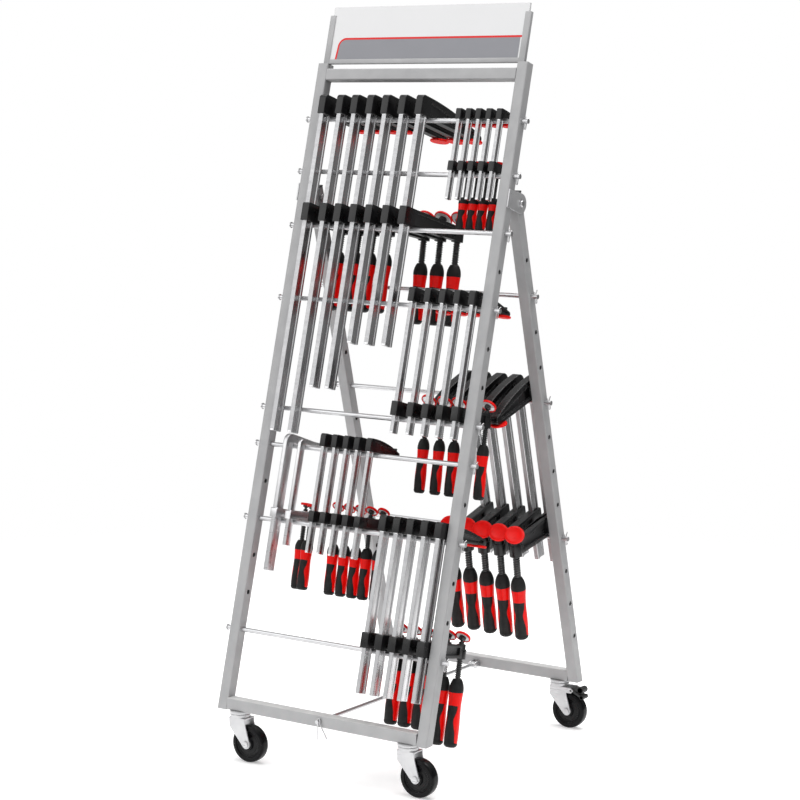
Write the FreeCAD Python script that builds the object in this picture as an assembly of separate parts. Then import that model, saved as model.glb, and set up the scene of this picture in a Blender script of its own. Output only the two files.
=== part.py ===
import FreeCAD, Part
import math
import os
from FreeCAD import Placement, Rotation, Vector

# An A-frame cart on four swivel castors. Two leaning tube frames are hinged
# near the top and tied near the floor by a stay rod. Round rods run across
# both frames, and bar clamps hang on them. All sizes are in millimetres.
# +X is to the right seen from the front, +Y is to the back, +Z is up. The
# origin is on the floor, midway between the outermost faces of the cart.

# Tube frames
tube = 25.0
tube_wall = 2.0
tube_corner = 2.5
frame_width = 526.0
foot_spread = 632.0
front_lean_deg = 14.6
back_lean_deg = 16.1
front_upright_length = 1411.0
back_upright_length = 1137.0
rail_setback = 2.0
top_rail_drop = 12.0
overrun = 5.0
touch_gap = 0.3
run_gap = 0.05

# Rows of rod holes, measured up the slope from the feet
hole_radius = 5.25
hole_pitch = 80.0
front_first_row = 172.0
back_first_row = 112.5
row_count = 12
wide_pitch = 120.0
top_pitch = 116.0

# Which rows hold a rod, as a count of rows above the lowest
front_rod_counts = {"top": 13, "second": 12, "third": 11, "fourth": 9, "fifth": 6, "sixth": 5,
                    "seventh": 3, "low": 0}
back_rod_counts = {"top": 10, "middle": 7, "low": 3}

# Hanging rods and their spring cotters
rod_radius = 5.0
rod_stub = 15.0
rod_head_radius = 6.5
rod_head_length = 2.5
clip_wire_radius = 1.1
clip_inset = 8.0
clip_rise = 10.0
clip_drop = 16.0
bend_slack_share = 0.1

# Hinge at the top of the back frame
pivot_height = 1115.0
bracket_thickness = 3.0
bracket_half_height = 19.0
bracket_nose_radius = 21.0
pivot_radius = 4.0
bolt_head_radius = 7.0
bolt_head_height = 5.0
hinge_side_gap = 0.3

# End plugs
plug_depth = 12.0
plug_cap = 3.0

# Sign holder and panel
post_width = 14.0
post_depth = 9.0
post_wall = 1.5
post_height = 108.0
post_setback = 3.5
sign_thickness = 5.4
sign_gap = 0.3
sign_height = 125.0
sign_end_gap = 5.0
channel_height = 9.5

# Stay rod between the two bottom rails
stay_radius = 4.0
stay_hole_radius = 5.5
stay_stub = 8.0
lug_reach = 14.0
lug_thickness = 4.0
lug_drop = 7.0
lug_radius = 8.0
stay_eye_radius = 7.5
stay_eye_width = 10.0
stay_pin_radius = 3.0
stay_clip_wire_radius = 1.2
stay_clip_rise = 7.0
stay_clip_leg = 38.0
stay_clip_splay_deg = 32.0

# Castors
castor_height = 107.0
castor_inset = 51.0
castor_trail = 27.0
wheel_radius = 40.0
wheel_width = 24.0
wheel_edge = 3.5
wheel_hub_radius = 13.0
wheel_hub_width = 27.0
wheel_rim_radius = 30.0
wheel_recess = 5.0
axle_radius = 4.0
axle_head_radius = 7.0
axle_head_height = 3.0
fork_thickness = 2.5
fork_inside = 29.0
fork_toe_radius = 9.5
fork_front = 17.0
fork_back = 24.0
fork_knee_height = 74.0
fork_knee_inset = 1.2
fork_hip_height = 84.0
fork_top_height = 94.0
race_radius = 21.5
race_lip = 1.5
cap_radius = 22.0
cap_height = 5.4
stem_radius = 5.0
stem_nut_radius = 8.5
stem_nut_height = 6.0
stem_end = 2.0

# Brake pedal on the two back castors
pedal_width = 24.0
pedal_pin_radius = 2.5
pedal_pin_ahead = 37.0
pedal_pin_height = 88.0
pedal_hub_radius = 5.0
pedal_tread_length = 21.0
pedal_tread_thickness = 6.0
pedal_tread_roll_radius = 7.0
pedal_rise = 2.5
pedal_heel_length = 28.0
pedal_heel_thickness = 5.0
pedal_heel_roll_radius = 5.0
pedal_heel_deg = -28.0
fork_ear_radius = 6.0

# Clamps: what all of them share
rest_gap = 0.3
spindle_fit_gap = 0.1
pad_thickness = 5.0
pad_ball_share = 0.85
pad_socket_share = 1.4
pad_hold_share = 0.35
fixed_pad_thickness = 5.0
jaw_web_share = 0.42
jaw_flange_share = 0.17
jaw_corner_share = 0.22
arm_knee_share = 0.32
arm_knee_height_share = 0.97
boss_hold_share = 0.9
boss_neck_share = 0.80
boss_neck_height_share = 0.34
steel_corner_share = 0.95
slide_corner_share = 0.8
usual_underside_rise = 3.0
usual_flop_deg = 34.0
grip_bore_share = 0.25
grip_shares = ((0.0, 0.56), (0.07, 0.84), (0.20, 1.0), (0.36, 0.90), (0.56, 0.95),
               (0.82, 1.0), (0.93, 0.97), (0.985, 0.82), (1.0, 0.60))


class Clamp:
    """Sizes of one kind of bar clamp, lengths in millimetres and angles in degrees."""

    def __init__(self, **sizes):
        self.lip = 0.0
        self.underside_rise = usual_underside_rise
        self.flop_deg = usual_flop_deg
        self.flop_heading_deg = 90.0
        self.bent_steel = False
        self.tooth = 0.0
        self.head_corner_share = jaw_corner_share
        for name, size in sizes.items():
            setattr(self, name, size)
        if "fixed_pad_radius" not in sizes:
            self.fixed_pad_radius = self.pad_radius
        if "jaw_width" not in sizes:
            self.jaw_width = self.head_width


deep_front = Clamp(rail_thickness=10.5, rail_depth=28.0, wall=3.0, head_width=17.0, head_height=41.0,
                   arm_reach=224.0, tip_height=15.0, jaw_height=39.0, spindle_reach=198.0,
                   spindle_radius=7.5, boss_radius=13.0, boss_height=34.0, lean_deg=5.0,
                   collar_drop=39.0, grip_radius=15.5, grip_length=134.0, pad_radius=21.3,
                   rail_length=535.0)
long_front = Clamp(rail_thickness=10.5, rail_depth=28.0, wall=3.0, head_width=17.0, head_height=41.0,
                   arm_reach=142.0, tip_height=15.0, jaw_height=39.0, spindle_reach=120.0,
                   spindle_radius=7.0, boss_radius=12.5, boss_height=34.0, lean_deg=0.0,
                   collar_drop=39.0, grip_radius=15.0, grip_length=129.0, pad_radius=12.0,
                   rail_length=735.0)
small_front = Clamp(rail_thickness=7.0, rail_depth=16.0, wall=2.0, head_width=13.0, head_height=15.5,
                    arm_reach=70.0, tip_height=7.0, jaw_height=20.5, spindle_reach=55.0,
                    spindle_radius=3.5, boss_radius=7.0, boss_height=18.0, lean_deg=1.0,
                    collar_drop=42.0, grip_radius=11.2, grip_length=70.0, pad_radius=11.0, lip=6.5,
                    underside_rise=1.0, flop_deg=0.0, rail_length=192.0)
medium_front = Clamp(rail_thickness=8.0, rail_depth=20.0, wall=2.5, head_width=15.0, head_height=29.0,
                     arm_reach=130.0, tip_height=11.0, jaw_height=30.0, spindle_reach=108.0,
                     spindle_radius=6.0, boss_radius=10.5, boss_height=32.0, lean_deg=5.0,
                     collar_drop=31.0, grip_radius=12.5, grip_length=115.0, pad_radius=17.0,
                     rail_length=306.0, tooth=4.0)
light_front = Clamp(rail_thickness=7.0, rail_depth=18.0, wall=2.5, head_width=13.5, head_height=27.0,
                    arm_reach=94.0, tip_height=9.0, jaw_height=23.5, spindle_reach=76.0,
                    spindle_radius=5.5, boss_radius=9.5, boss_height=26.0, lean_deg=5.0,
                    collar_drop=38.0, grip_radius=12.6, grip_length=108.0, pad_radius=13.8,
                    rail_length=252.0, tooth=4.0)
stout_front = Clamp(rail_thickness=10.0, rail_depth=25.0, wall=3.0, head_width=17.0, head_height=32.0,
                    arm_reach=128.0, tip_height=13.0, jaw_height=32.0, spindle_reach=106.0,
                    spindle_radius=6.5, boss_radius=11.5, boss_height=30.0, lean_deg=4.0,
                    collar_drop=11.0, grip_radius=15.0, grip_length=141.0, pad_radius=16.2,
                    rail_length=365.0)
stout_deep_front = Clamp(rail_thickness=10.0, rail_depth=25.0, wall=3.0, head_width=17.0,
                         head_height=32.0, arm_reach=158.0, tip_height=13.0, jaw_height=32.0,
                         spindle_reach=132.0, spindle_radius=6.5, boss_radius=11.5, boss_height=30.0,
                         lean_deg=4.0, collar_drop=36.0, grip_radius=15.0, grip_length=141.0,
                         pad_radius=16.8, rail_length=365.0)
wide_steel = Clamp(rail_thickness=10.0, rail_depth=25.0, wall=2.5, head_width=10.0, head_height=20.5,
                   arm_reach=112.0, tip_height=10.0, jaw_height=20.0, spindle_reach=90.0,
                   spindle_radius=5.5, boss_radius=10.0, boss_height=24.0, lean_deg=3.0,
                   collar_drop=38.0, grip_radius=13.0, grip_length=106.0, pad_radius=12.0,
                   jaw_width=16.0, bent_steel=True, flop_deg=0.0, rail_length=294.0)
thin_steel = Clamp(rail_thickness=8.0, rail_depth=17.0, wall=2.5, head_width=8.0, head_height=12.0,
                   arm_reach=84.0, tip_height=8.0, jaw_height=18.0, spindle_reach=66.0,
                   spindle_radius=5.0, boss_radius=9.0, boss_height=22.0, lean_deg=3.0,
                   collar_drop=38.0, grip_radius=13.0, grip_length=106.0, pad_radius=11.0,
                   jaw_width=14.0, bent_steel=True, flop_deg=0.0, rail_length=228.0)
heavy_back = Clamp(rail_thickness=10.5, rail_depth=28.0, wall=3.0, head_width=18.0, head_height=45.0,
                   arm_reach=160.0, tip_height=20.0, jaw_height=46.0, spindle_reach=141.0,
                   spindle_radius=8.0, boss_radius=13.5, boss_height=37.0, lean_deg=6.0,
                   collar_drop=31.0, grip_radius=16.0, grip_length=141.0, pad_radius=21.5,
                   fixed_pad_radius=18.5, underside_rise=0.0, flop_deg=35.0, flop_heading_deg=127.0,
                   head_corner_share=0.45, rail_length=434.0)

shorter_front = Clamp(**{**vars(long_front), "rail_length": 635.0})

# Where the clamps hang: kind, hanging rod, resting rod
front_hung = ((long_front, "top", "third"), (shorter_front, "top", "third"), (deep_front, "top", "third"),
              (small_front, "top", "second"), (medium_front, "fourth", "fifth"),
              (wide_steel, "sixth", "seventh"), (thin_steel, "sixth", "seventh"),
              (light_front, "sixth", "seventh"), (stout_front, "seventh", "low"),
              (stout_deep_front, "seventh", "low"))
back_hung = ((heavy_back, "middle", "low"),)

# Their places across, as shares of the way from the middle to an upright
place_shares = {
    long_front: (-0.924, -0.731),
    shorter_front: (-0.571, -0.403),
    deep_front: (-0.239, -0.059, 0.122),
    small_front: (0.508, 0.609, 0.710, 0.815, 0.920),
    medium_front: (0.319, 0.483, 0.634, 0.782, 0.933),
    wide_steel: (-0.765,),
    thin_steel: (-0.630,),
    light_front: (-0.378, -0.256, -0.134, -0.017, 0.109),
    stout_front: (0.391, 0.534, 0.672),
    stout_deep_front: (0.815, 0.958),
    heavy_back: (0.273, 0.445, 0.618, 0.786, 0.950),
}

# How far the screws are backed out, as shares of the screw travel
screw_travel = 20.0
screw_shares = {heavy_back: (0.0, 0.0, 0.1, 0.2, 0.28)}

# Derived places
half_width = frame_width / 2
inner_half = half_width - tube
back_half = half_width - hinge_side_gap
toe_front = -(foot_spread + tube) / 2
toe_back = toe_front + foot_spread
rail_y = (foot_spread - 2 * rail_setback) / 2
front_frame = Placement(Vector(0, toe_front, castor_height), Rotation(Vector(1, 0, 0), -front_lean_deg))
back_frame = Placement(Vector(0, toe_back, castor_height), Rotation(Vector(1, 0, 0), back_lean_deg))
front_rows = [front_first_row + hole_pitch * row for row in range(row_count)]
front_rows.append(front_rows[-1] + wide_pitch)
front_rows.append(front_rows[-1] + top_pitch)
back_rows = [back_first_row + hole_pitch * row for row in range(row_count)]
pivot = back_frame.multVec(Vector(0, tube / 2, pivot_height))
pivot_in_front = front_frame.inverse().multVec(pivot)
stay_height = castor_height + tube / 2
stay_pivot = Vector(0, rail_y - tube / 2 - lug_reach, castor_height + lug_drop)
rod_half = half_width + rod_stub
castor_x = half_width - castor_inset


def placed(shape, placement):
    """Returns a copy of the shape moved by the placement."""
    moved = shape.copy()
    moved.Placement = placement.multiply(moved.Placement)
    return moved


def bar(x_size, y_size, z_size, x, y, z):
    """A box centred on x and y whose lowest face is at z."""
    return Part.makeBox(x_size, y_size, z_size, Vector(x - x_size / 2, y - y_size / 2, z))


def rod_along(axis, radius, length, start):
    """A cylinder of the given length from start along axis."""
    return Part.makeCylinder(radius, length, start, axis)


def rounded_tube(length, x, y, z):
    """A hollow square tube standing on z with its corners rounded."""
    outer = bar(tube, tube, length, x, y, z)
    long_edges = [edge for edge in outer.Edges if abs(edge.Length - length) < overrun / 10]
    outer = outer.makeFillet(tube_corner, long_edges)
    bore = tube - 2 * tube_wall
    return outer.cut(bar(bore, bore, length + 2 * overrun, x, y, z - overrun))


def below(height):
    """A block that holds everything lower than the height."""
    reach = 2 * foot_spread
    return Part.makeBox(2 * reach, 2 * reach, height, Vector(-reach, -reach, 0))


def outline_solid(points, thickness, x):
    """A plate in the YZ plane, centred on x, from (y, z) points or arcs given as three points."""
    edges = []
    for piece in points:
        spots = [Vector(x - thickness / 2, y, z) for y, z in piece]
        if len(spots) == 2:
            edges.append(Part.makeLine(spots[0], spots[1]))
        else:
            edges.append(Part.Arc(spots[0], spots[1], spots[2]).toShape())
    face = Part.Face(Part.Wire(Part.__sortEdges__(edges)))
    return face.extrude(Vector(thickness, 0, 0))


def lines_through(*corners):
    """Straight pieces of an outline from corner to corner."""
    return [(corners[index], corners[index + 1]) for index in range(len(corners) - 1)]


def wire_solid(spots, radius, bends):
    """A round wire along straight runs joined by arcs; bends holds the arc radius at each inner spot."""
    edges = []
    start = spots[0]
    for index, bend in enumerate(bends):
        corner = spots[index + 1]
        back = (spots[index] - corner).normalize()
        ahead = (spots[index + 2] - corner).normalize()
        half_turn = back.getAngle(ahead) / 2
        cut_back = bend / math.tan(half_turn)
        first = corner + back * cut_back
        last = corner + ahead * cut_back
        bisector = (back + ahead).normalize()
        middle = corner + bisector * (bend / math.sin(half_turn) - bend)
        edges.append(Part.makeLine(start, first))
        edges.append(Part.Arc(first, middle, last).toShape())
        start = last
    edges.append(Part.makeLine(start, spots[-1]))
    path = Part.Wire(edges)
    along = (spots[1] - spots[0]).normalize()
    section = Part.Wire(Part.makeCircle(radius, spots[0], along))
    return path.makePipeShell([section], True, True)


def upright(side, length, rows, frame, outside):
    """One leaning upright with its rod holes, cut level at the foot."""
    x = side * (outside - tube / 2)
    shape = rounded_tube(length + tube, x, tube / 2, -tube)
    for row in rows:
        start = Vector(x - tube / 2 - overrun, tube / 2, row)
        shape = shape.cut(rod_along(Vector(1, 0, 0), hole_radius, tube + 2 * overrun, start))
    return placed(shape, frame).cut(below(castor_height))


def back_upright(side):
    """A back upright, with the hole for its hinge bolt."""
    shape = upright(side, back_upright_length, back_rows, back_frame, back_half)
    start = pivot - Vector(half_width + overrun, 0, 0)
    return shape.cut(rod_along(Vector(1, 0, 0), pivot_radius + run_gap, frame_width + 2 * overrun, start))


def level_rail(y, half_length):
    """A level square tube between the feet of one frame, with its castor bolt holes."""
    shape = rounded_tube(2 * half_length, 0, 0, -half_length)
    shape = placed(shape, Placement(Vector(0, y, castor_height + tube / 2), Rotation(Vector(0, 1, 0), 90)))
    for side in (-1, 1):
        start = Vector(side * castor_x, y, castor_height - overrun)
        shape = shape.cut(rod_along(Vector(0, 0, 1), stem_radius, tube_wall + 2 * overrun, start))
    return shape


def front_bottom_rail():
    """The front bottom rail, with the hole that the stay rod slides through."""
    shape = level_rail(-rail_y, inner_half)
    start = Vector(0, -rail_y - tube / 2 - overrun, stay_height)
    return shape.cut(rod_along(Vector(0, 1, 0), stay_hole_radius, tube + 2 * overrun, start))


def front_top_rail():
    """The square tube across the top of the front frame."""
    shape = rounded_tube(2 * inner_half, 0, 0, -inner_half)
    top = front_upright_length - top_rail_drop - tube / 2
    local = Placement(Vector(0, tube / 2, top), Rotation(Vector(0, 1, 0), 90))
    return placed(shape, front_frame.multiply(local))


def hanging_rod(row_height, frame):
    """A round rod through both uprights, headed at the left and cross-drilled at the right."""
    shape = rod_along(Vector(1, 0, 0), rod_radius, 2 * rod_half, Vector(-rod_half, tube / 2, row_height))
    head_start = Vector(-rod_half, tube / 2, row_height)
    head = rod_along(Vector(1, 0, 0), rod_head_radius, rod_head_length, head_start)
    hole_x = rod_half - clip_inset
    start = Vector(hole_x, tube / 2, row_height - rod_radius - overrun)
    hole = rod_along(Vector(0, 0, 1), clip_wire_radius + run_gap, 2 * (rod_radius + overrun), start)
    return placed(shape.fuse(head).removeSplitter().cut(hole), frame)


def rod_clip(row_height, frame):
    """A spring cotter through the right end of a hanging rod."""
    x = rod_half - clip_inset
    y = tube / 2
    reach = rod_radius + clip_wire_radius + touch_gap
    spots = [Vector(x, y, row_height + clip_rise),
             Vector(x, y, row_height - clip_drop),
             Vector(x, y + reach, row_height - clip_drop),
             Vector(x, y + reach, row_height + rod_radius),
             Vector(x, y + 2 * reach, row_height + clip_rise)]
    tight = reach / 2 - clip_wire_radius * bend_slack_share
    bends = [tight, tight, reach / 2]
    return placed(wire_solid(spots, clip_wire_radius, bends), frame)


def hinge_bracket(side):
    """The plate on the outside of a front upright that carries the back frame's pivot."""
    y = pivot_in_front.y
    z = pivot_in_front.z
    low = z - bracket_half_height
    high = z + bracket_half_height
    nose_low = z - bracket_nose_radius
    nose_high = z + bracket_nose_radius
    nose = [((y, nose_high), (y + bracket_nose_radius, z), (y, nose_low))]
    outline = lines_through((y, nose_low), (0, low), (0, high), (y, nose_high)) + nose
    x = side * (half_width + bracket_thickness / 2)
    plate = outline_solid(outline, bracket_thickness, x)
    start = Vector(x - bracket_thickness / 2 - overrun, y, z)
    length = bracket_thickness + 2 * overrun
    return placed(plate.cut(rod_along(Vector(1, 0, 0), pivot_radius, length, start)), front_frame)


def hinge_bolt(side):
    """The bolt through a bracket and the back upright, with a domed head and a nut inside."""
    outside = half_width + bracket_thickness
    inside = back_half - tube - touch_gap
    along = Vector(side, 0, 0)
    start = Vector(side * inside, pivot.y, pivot.z)
    shank = rod_along(along, pivot_radius, outside - inside, start)
    head = rod_along(along, bolt_head_radius, bolt_head_height, Vector(side * outside, pivot.y, pivot.z))
    head = head.makeFillet(bolt_head_height / 2, [head.Edges[0]])
    nut_start = Vector(side * (inside - bolt_head_height), pivot.y, pivot.z)
    nut = hexagon(bolt_head_radius, bolt_head_height, nut_start, along)
    return shank.fuse([head, nut]).removeSplitter()


def hexagon(radius, height, start, along):
    """A hexagonal prism from start along an axis."""
    turn = Rotation(Vector(0, 0, 1), along)
    corners = [Vector(radius * math.cos(math.pi * step / 3), radius * math.sin(math.pi * step / 3), 0)
               for step in range(7)]
    corners[6] = corners[0]
    prism = Part.Face(Part.makePolygon(corners)).extrude(Vector(0, 0, height))
    return placed(prism, Placement(start, turn))


def tube_plug(x, y, z, down):
    """A plastic plug in the end of an upright; down is -1 at the foot and 1 at the top."""
    bore = tube - 2 * tube_wall
    cap_low = z if down > 0 else z - plug_cap
    cap = bar(tube, tube, plug_cap, x, y, cap_low)
    plug_low = z - plug_depth if down > 0 else z
    return cap.fuse(bar(bore, bore, plug_depth, x, y, plug_low)).removeSplitter()


def back_top_plug(side):
    """The plug in the open top of a back upright."""
    x = side * (back_half - tube / 2)
    return placed(tube_plug(x, tube / 2, back_upright_length, 1), back_frame)


def front_top_plug(side):
    """A thin cap that closes the top of a front upright, under the sign post."""
    x = side * (half_width - tube / 2)
    bore = tube - 2 * tube_wall
    shape = bar(bore, bore, plug_depth, x, tube / 2, front_upright_length - plug_depth)
    return placed(shape, front_frame)


def foot_plug(side, frame, outside, lean_deg):
    """The plug inside the level-cut foot of an upright."""
    x = side * (outside - tube / 2)
    bore = tube - 2 * tube_wall
    shape = bar(bore, bore, plug_depth + tube, x, tube / 2, -tube)
    slant = bore * math.tan(math.radians(abs(lean_deg)))
    shape = shape.cut(bar(tube, tube, tube, x, tube / 2, plug_depth - slant))
    return placed(shape, frame).cut(below(castor_height))


def sign_post(side):
    """A U-shaped post on a front upright; its groove takes one edge of the sign."""
    x = side * (inner_half + post_width / 2)
    y = post_setback + post_depth / 2
    post = bar(post_width, post_depth, post_height, x, y, front_upright_length)
    groove_width = post_width - post_wall
    groove_x = side * (inner_half + groove_width / 2)
    groove = bar(groove_width, post_depth - 2 * post_wall, post_height + overrun,
                 groove_x, y, front_upright_length + post_wall)
    opening = bar(overrun, post_depth - 2 * post_wall, post_height + overrun,
                  side * (inner_half - overrun / 2), y, front_upright_length + post_wall)
    return placed(post.cut(groove).cut(opening), front_frame)


def sign_channel():
    """The U-shaped channel that the sign stands in, between the two posts."""
    y = post_setback + post_depth / 2
    shape = bar(2 * inner_half, post_depth, channel_height, 0, y, front_upright_length)
    groove = bar(2 * inner_half + 2 * overrun, post_depth - 2 * post_wall, channel_height,
                 0, y, front_upright_length + post_wall)
    return placed(shape.cut(groove), front_frame)


def sign_panel():
    """The flat sign that drops into the posts and the channel."""
    y = post_setback + post_depth / 2
    width = 2 * (inner_half + post_width - post_wall - sign_end_gap)
    low = front_upright_length + post_wall + sign_gap
    return placed(bar(width, sign_thickness, sign_height, 0, y, low), front_frame)


def stay_lug():
    """Two plates in front of the back bottom rail and the pin between them."""
    rail_face = rail_y - tube / 2
    solids = []
    y = stay_pivot.y
    z = stay_pivot.z
    top = z + lug_radius
    low = z - lug_radius
    for side in (-1, 1):
        x = side * (stay_eye_width / 2 + touch_gap + lug_thickness / 2)
        nose = [((y, top), (y - lug_radius, z), (y, low))]
        outline = lines_through((y, low), (rail_face, castor_height), (rail_face, top), (y, top)) + nose
        plate = outline_solid(outline, lug_thickness, x)
        start = Vector(x - lug_thickness, y, z)
        solids.append(plate.cut(rod_along(Vector(1, 0, 0), stay_pin_radius, 2 * lug_thickness, start)))
    half = stay_eye_width / 2 + touch_gap + lug_thickness
    solids.append(rod_along(Vector(1, 0, 0), stay_pin_radius, 2 * half, Vector(-half, y, z)))
    return solids


def stay_front_end():
    """The front end of the stay rod, just ahead of the front bottom rail."""
    return Vector(0, -rail_y - tube / 2 - stay_stub, stay_height)


def stay_rod():
    """The rod that ties the frames: an eye at the back, cross-drilled at the front."""
    front = stay_front_end()
    along = (front - stay_pivot).normalize()
    shaft = rod_along(along, stay_radius, (front - stay_pivot).Length, stay_pivot)
    eye = rod_along(Vector(1, 0, 0), stay_eye_radius, stay_eye_width,
                    stay_pivot - Vector(stay_eye_width / 2, 0, 0))
    bore = rod_along(Vector(1, 0, 0), stay_pin_radius + run_gap, stay_eye_width + 2 * overrun,
                     stay_pivot - Vector(stay_eye_width / 2 + overrun, 0, 0))
    hole_middle = front - along * (stay_stub / 2)
    hole = rod_along(Vector(0, 0, 1), stay_clip_wire_radius + run_gap, 2 * (stay_radius + overrun),
                     hole_middle - Vector(0, 0, stay_radius + overrun))
    return shaft.fuse(eye).removeSplitter().cut(bore).cut(hole)


def stay_clip():
    """The split pin through the front end of the stay rod, with its two legs hanging."""
    front = stay_front_end()
    along = (front - stay_pivot).normalize()
    middle = front - along * (stay_stub / 2)
    reach = stay_radius + stay_clip_wire_radius + touch_gap
    splay = math.radians(stay_clip_splay_deg)
    leg = Vector(math.sin(splay), 0, -math.cos(splay)) * (stay_clip_leg - stay_radius)
    knee = middle + Vector(reach, 0, -stay_radius)
    spots = [middle - Vector(0, 0, stay_clip_leg),
             middle + Vector(0, 0, stay_clip_rise),
             middle + Vector(reach, 0, stay_clip_rise),
             knee,
             knee + leg]
    bend = reach / 2 - stay_clip_wire_radius * bend_slack_share
    return wire_solid(spots, stay_clip_wire_radius, [bend, bend, reach])


def castor_place(x_side, y_side):
    """Where a castor's swivel axis meets the floor."""
    return Placement(Vector(x_side * castor_x, y_side * rail_y, 0), Rotation())


def castor_stem():
    """The fixed cap and bolt of a castor, with the nut inside the rail."""
    cap = rod_along(Vector(0, 0, 1), cap_radius, cap_height, Vector(0, 0, castor_height - cap_height))
    cap = cap.makeFillet(race_lip, [cap.Edges[2]])
    seat = castor_height + tube_wall
    stem = rod_along(Vector(0, 0, 1), stem_radius, cap_height + tube_wall + stem_nut_height + stem_end,
                     Vector(0, 0, castor_height - cap_height))
    nut = hexagon(stem_nut_radius, stem_nut_height, Vector(0, 0, seat), Vector(0, 0, 1))
    return cap.fuse([stem, nut]).removeSplitter()


def castor_leg(side):
    """One side plate of a fork, with the axle hole in its toe."""
    y = side * (fork_inside + fork_thickness) / 2
    toe = Vector(castor_trail, 0, wheel_radius)
    front_knee = Vector(-fork_front + fork_knee_inset, 0, fork_knee_height)
    front_touch, back_touch = tangent_spots(front_knee, Vector(fork_back, 0, fork_hip_height), toe)
    low = toe - Vector(0, 0, fork_toe_radius)
    corners = [front_touch, front_knee, Vector(-fork_front, 0, fork_top_height),
               Vector(fork_back, 0, fork_top_height), Vector(fork_back, 0, fork_hip_height), back_touch]
    edges = [Part.makeLine(corners[step], corners[step + 1]) for step in range(len(corners) - 1)]
    edges.append(Part.Arc(back_touch, low, front_touch).toShape())
    face = Part.Face(Part.Wire(edges))
    face.translate(Vector(0, y - fork_thickness / 2, 0))
    leg = face.extrude(Vector(0, fork_thickness, 0))
    hole = rod_along(Vector(0, 1, 0), axle_radius, fork_inside, toe + Vector(0, y - fork_inside / 2, 0))
    return leg.cut(hole)


def tangent_spots(front_spot, back_spot, centre):
    """Where lines from two spots touch the round toe, on its front side and its back side."""
    touches = []
    for spot, turn in ((front_spot, 1), (back_spot, -1)):
        away = spot - centre
        distance = away.Length
        swing = turn * math.acos(fork_toe_radius / distance)
        heading = math.atan2(away.z, away.x) + swing
        touches.append(centre + Vector(math.cos(heading), 0, math.sin(heading)) * fork_toe_radius)
    return touches


def castor_fork(with_brake):
    """The swivelling fork: a ball race, a crown plate and two legs, and ears for a brake pedal."""
    crown_width = fork_inside + 2 * fork_thickness
    crown_low = fork_top_height - fork_thickness
    crown = bar(fork_front + fork_back, crown_width, fork_thickness, (fork_back - fork_front) / 2, 0,
                crown_low)
    race_height = castor_height - cap_height - touch_gap - fork_top_height
    race = rod_along(Vector(0, 0, 1), race_radius, race_height, Vector(0, 0, fork_top_height))
    race = race.makeFillet(race_lip, [race.Edges[0], race.Edges[2]])
    parts = [race, castor_leg(-1), castor_leg(1)]
    shape = crown.fuse(parts)
    if with_brake:
        shape = shape.fuse([fork_ear(-1), fork_ear(1)])
    return shape.removeSplitter()


def fork_ear(side):
    """An ear behind a fork leg that holds one end of the brake pedal's pin."""
    y = side * (fork_inside + fork_thickness) / 2
    pin = Vector(pedal_pin_ahead, 0, pedal_pin_height)
    low = pedal_pin_height - fork_ear_radius
    high = fork_top_height
    edges = lines_through((fork_back - overrun, low), (fork_back - overrun, high),
                          (pin.x, high), (pin.x + fork_ear_radius, pin.z), (pin.x, low),
                          (fork_back - overrun, low))
    corners = [Vector(piece[0][0], y - fork_thickness / 2, piece[0][1]) for piece in edges]
    corners.append(corners[0])
    ear = Part.Face(Part.makePolygon(corners)).extrude(Vector(0, fork_thickness, 0))
    hole = rod_along(Vector(0, 1, 0), pedal_pin_radius + run_gap, fork_inside,
                     pin + Vector(0, y - fork_inside / 2, 0))
    return ear.cut(hole)


def castor_wheel():
    """A one-piece wheel with a rounded tread, a recessed web and a wider hub."""
    half = wheel_width / 2
    hub_half = wheel_hub_width / 2
    web_half = half - wheel_recess
    bore = axle_radius + run_gap
    side_points = [(bore, hub_half), (wheel_hub_radius, hub_half), (wheel_hub_radius, web_half),
                   (wheel_rim_radius, web_half), (wheel_rim_radius + wheel_edge / 2, half),
                   (wheel_radius - wheel_edge, half), (wheel_radius, half - wheel_edge)]
    outline = side_points + [(radius, -y) for radius, y in reversed(side_points)]
    spots = [Vector(radius, y, 0) for radius, y in outline]
    spots.append(spots[0])
    face = Part.Face(Part.makePolygon(spots))
    wheel = face.revolve(Vector(0, 0, 0), Vector(0, 1, 0), 360)
    return placed(wheel, Placement(Vector(castor_trail, 0, wheel_radius), Rotation()))


def castor_axle():
    """The axle bolt through the fork's toes, with a domed head and a nut."""
    outside = fork_inside / 2 + fork_thickness
    centre = Vector(castor_trail, 0, wheel_radius)
    shank = rod_along(Vector(0, 1, 0), axle_radius, 2 * outside, centre - Vector(0, outside, 0))
    head = rod_along(Vector(0, -1, 0), axle_head_radius, axle_head_height, centre - Vector(0, outside, 0))
    head = head.makeFillet(axle_head_height / 2, [head.Edges[2]])
    nut = hexagon(axle_head_radius, axle_head_height, centre + Vector(0, outside, 0), Vector(0, 1, 0))
    return shank.fuse([head, nut]).removeSplitter()


def pedal_arm(length, thickness, roll_radius, place):
    """One arm of the pedal, from its pin out to the thick roll at its end."""
    plate = Part.makeBox(length, pedal_width, thickness, Vector(0, -pedal_width / 2, -thickness / 2))
    roll = rod_along(Vector(0, 1, 0), roll_radius, pedal_width, Vector(length, -pedal_width / 2, 0))
    return placed(plate.fuse(roll).removeSplitter(), place)


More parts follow.
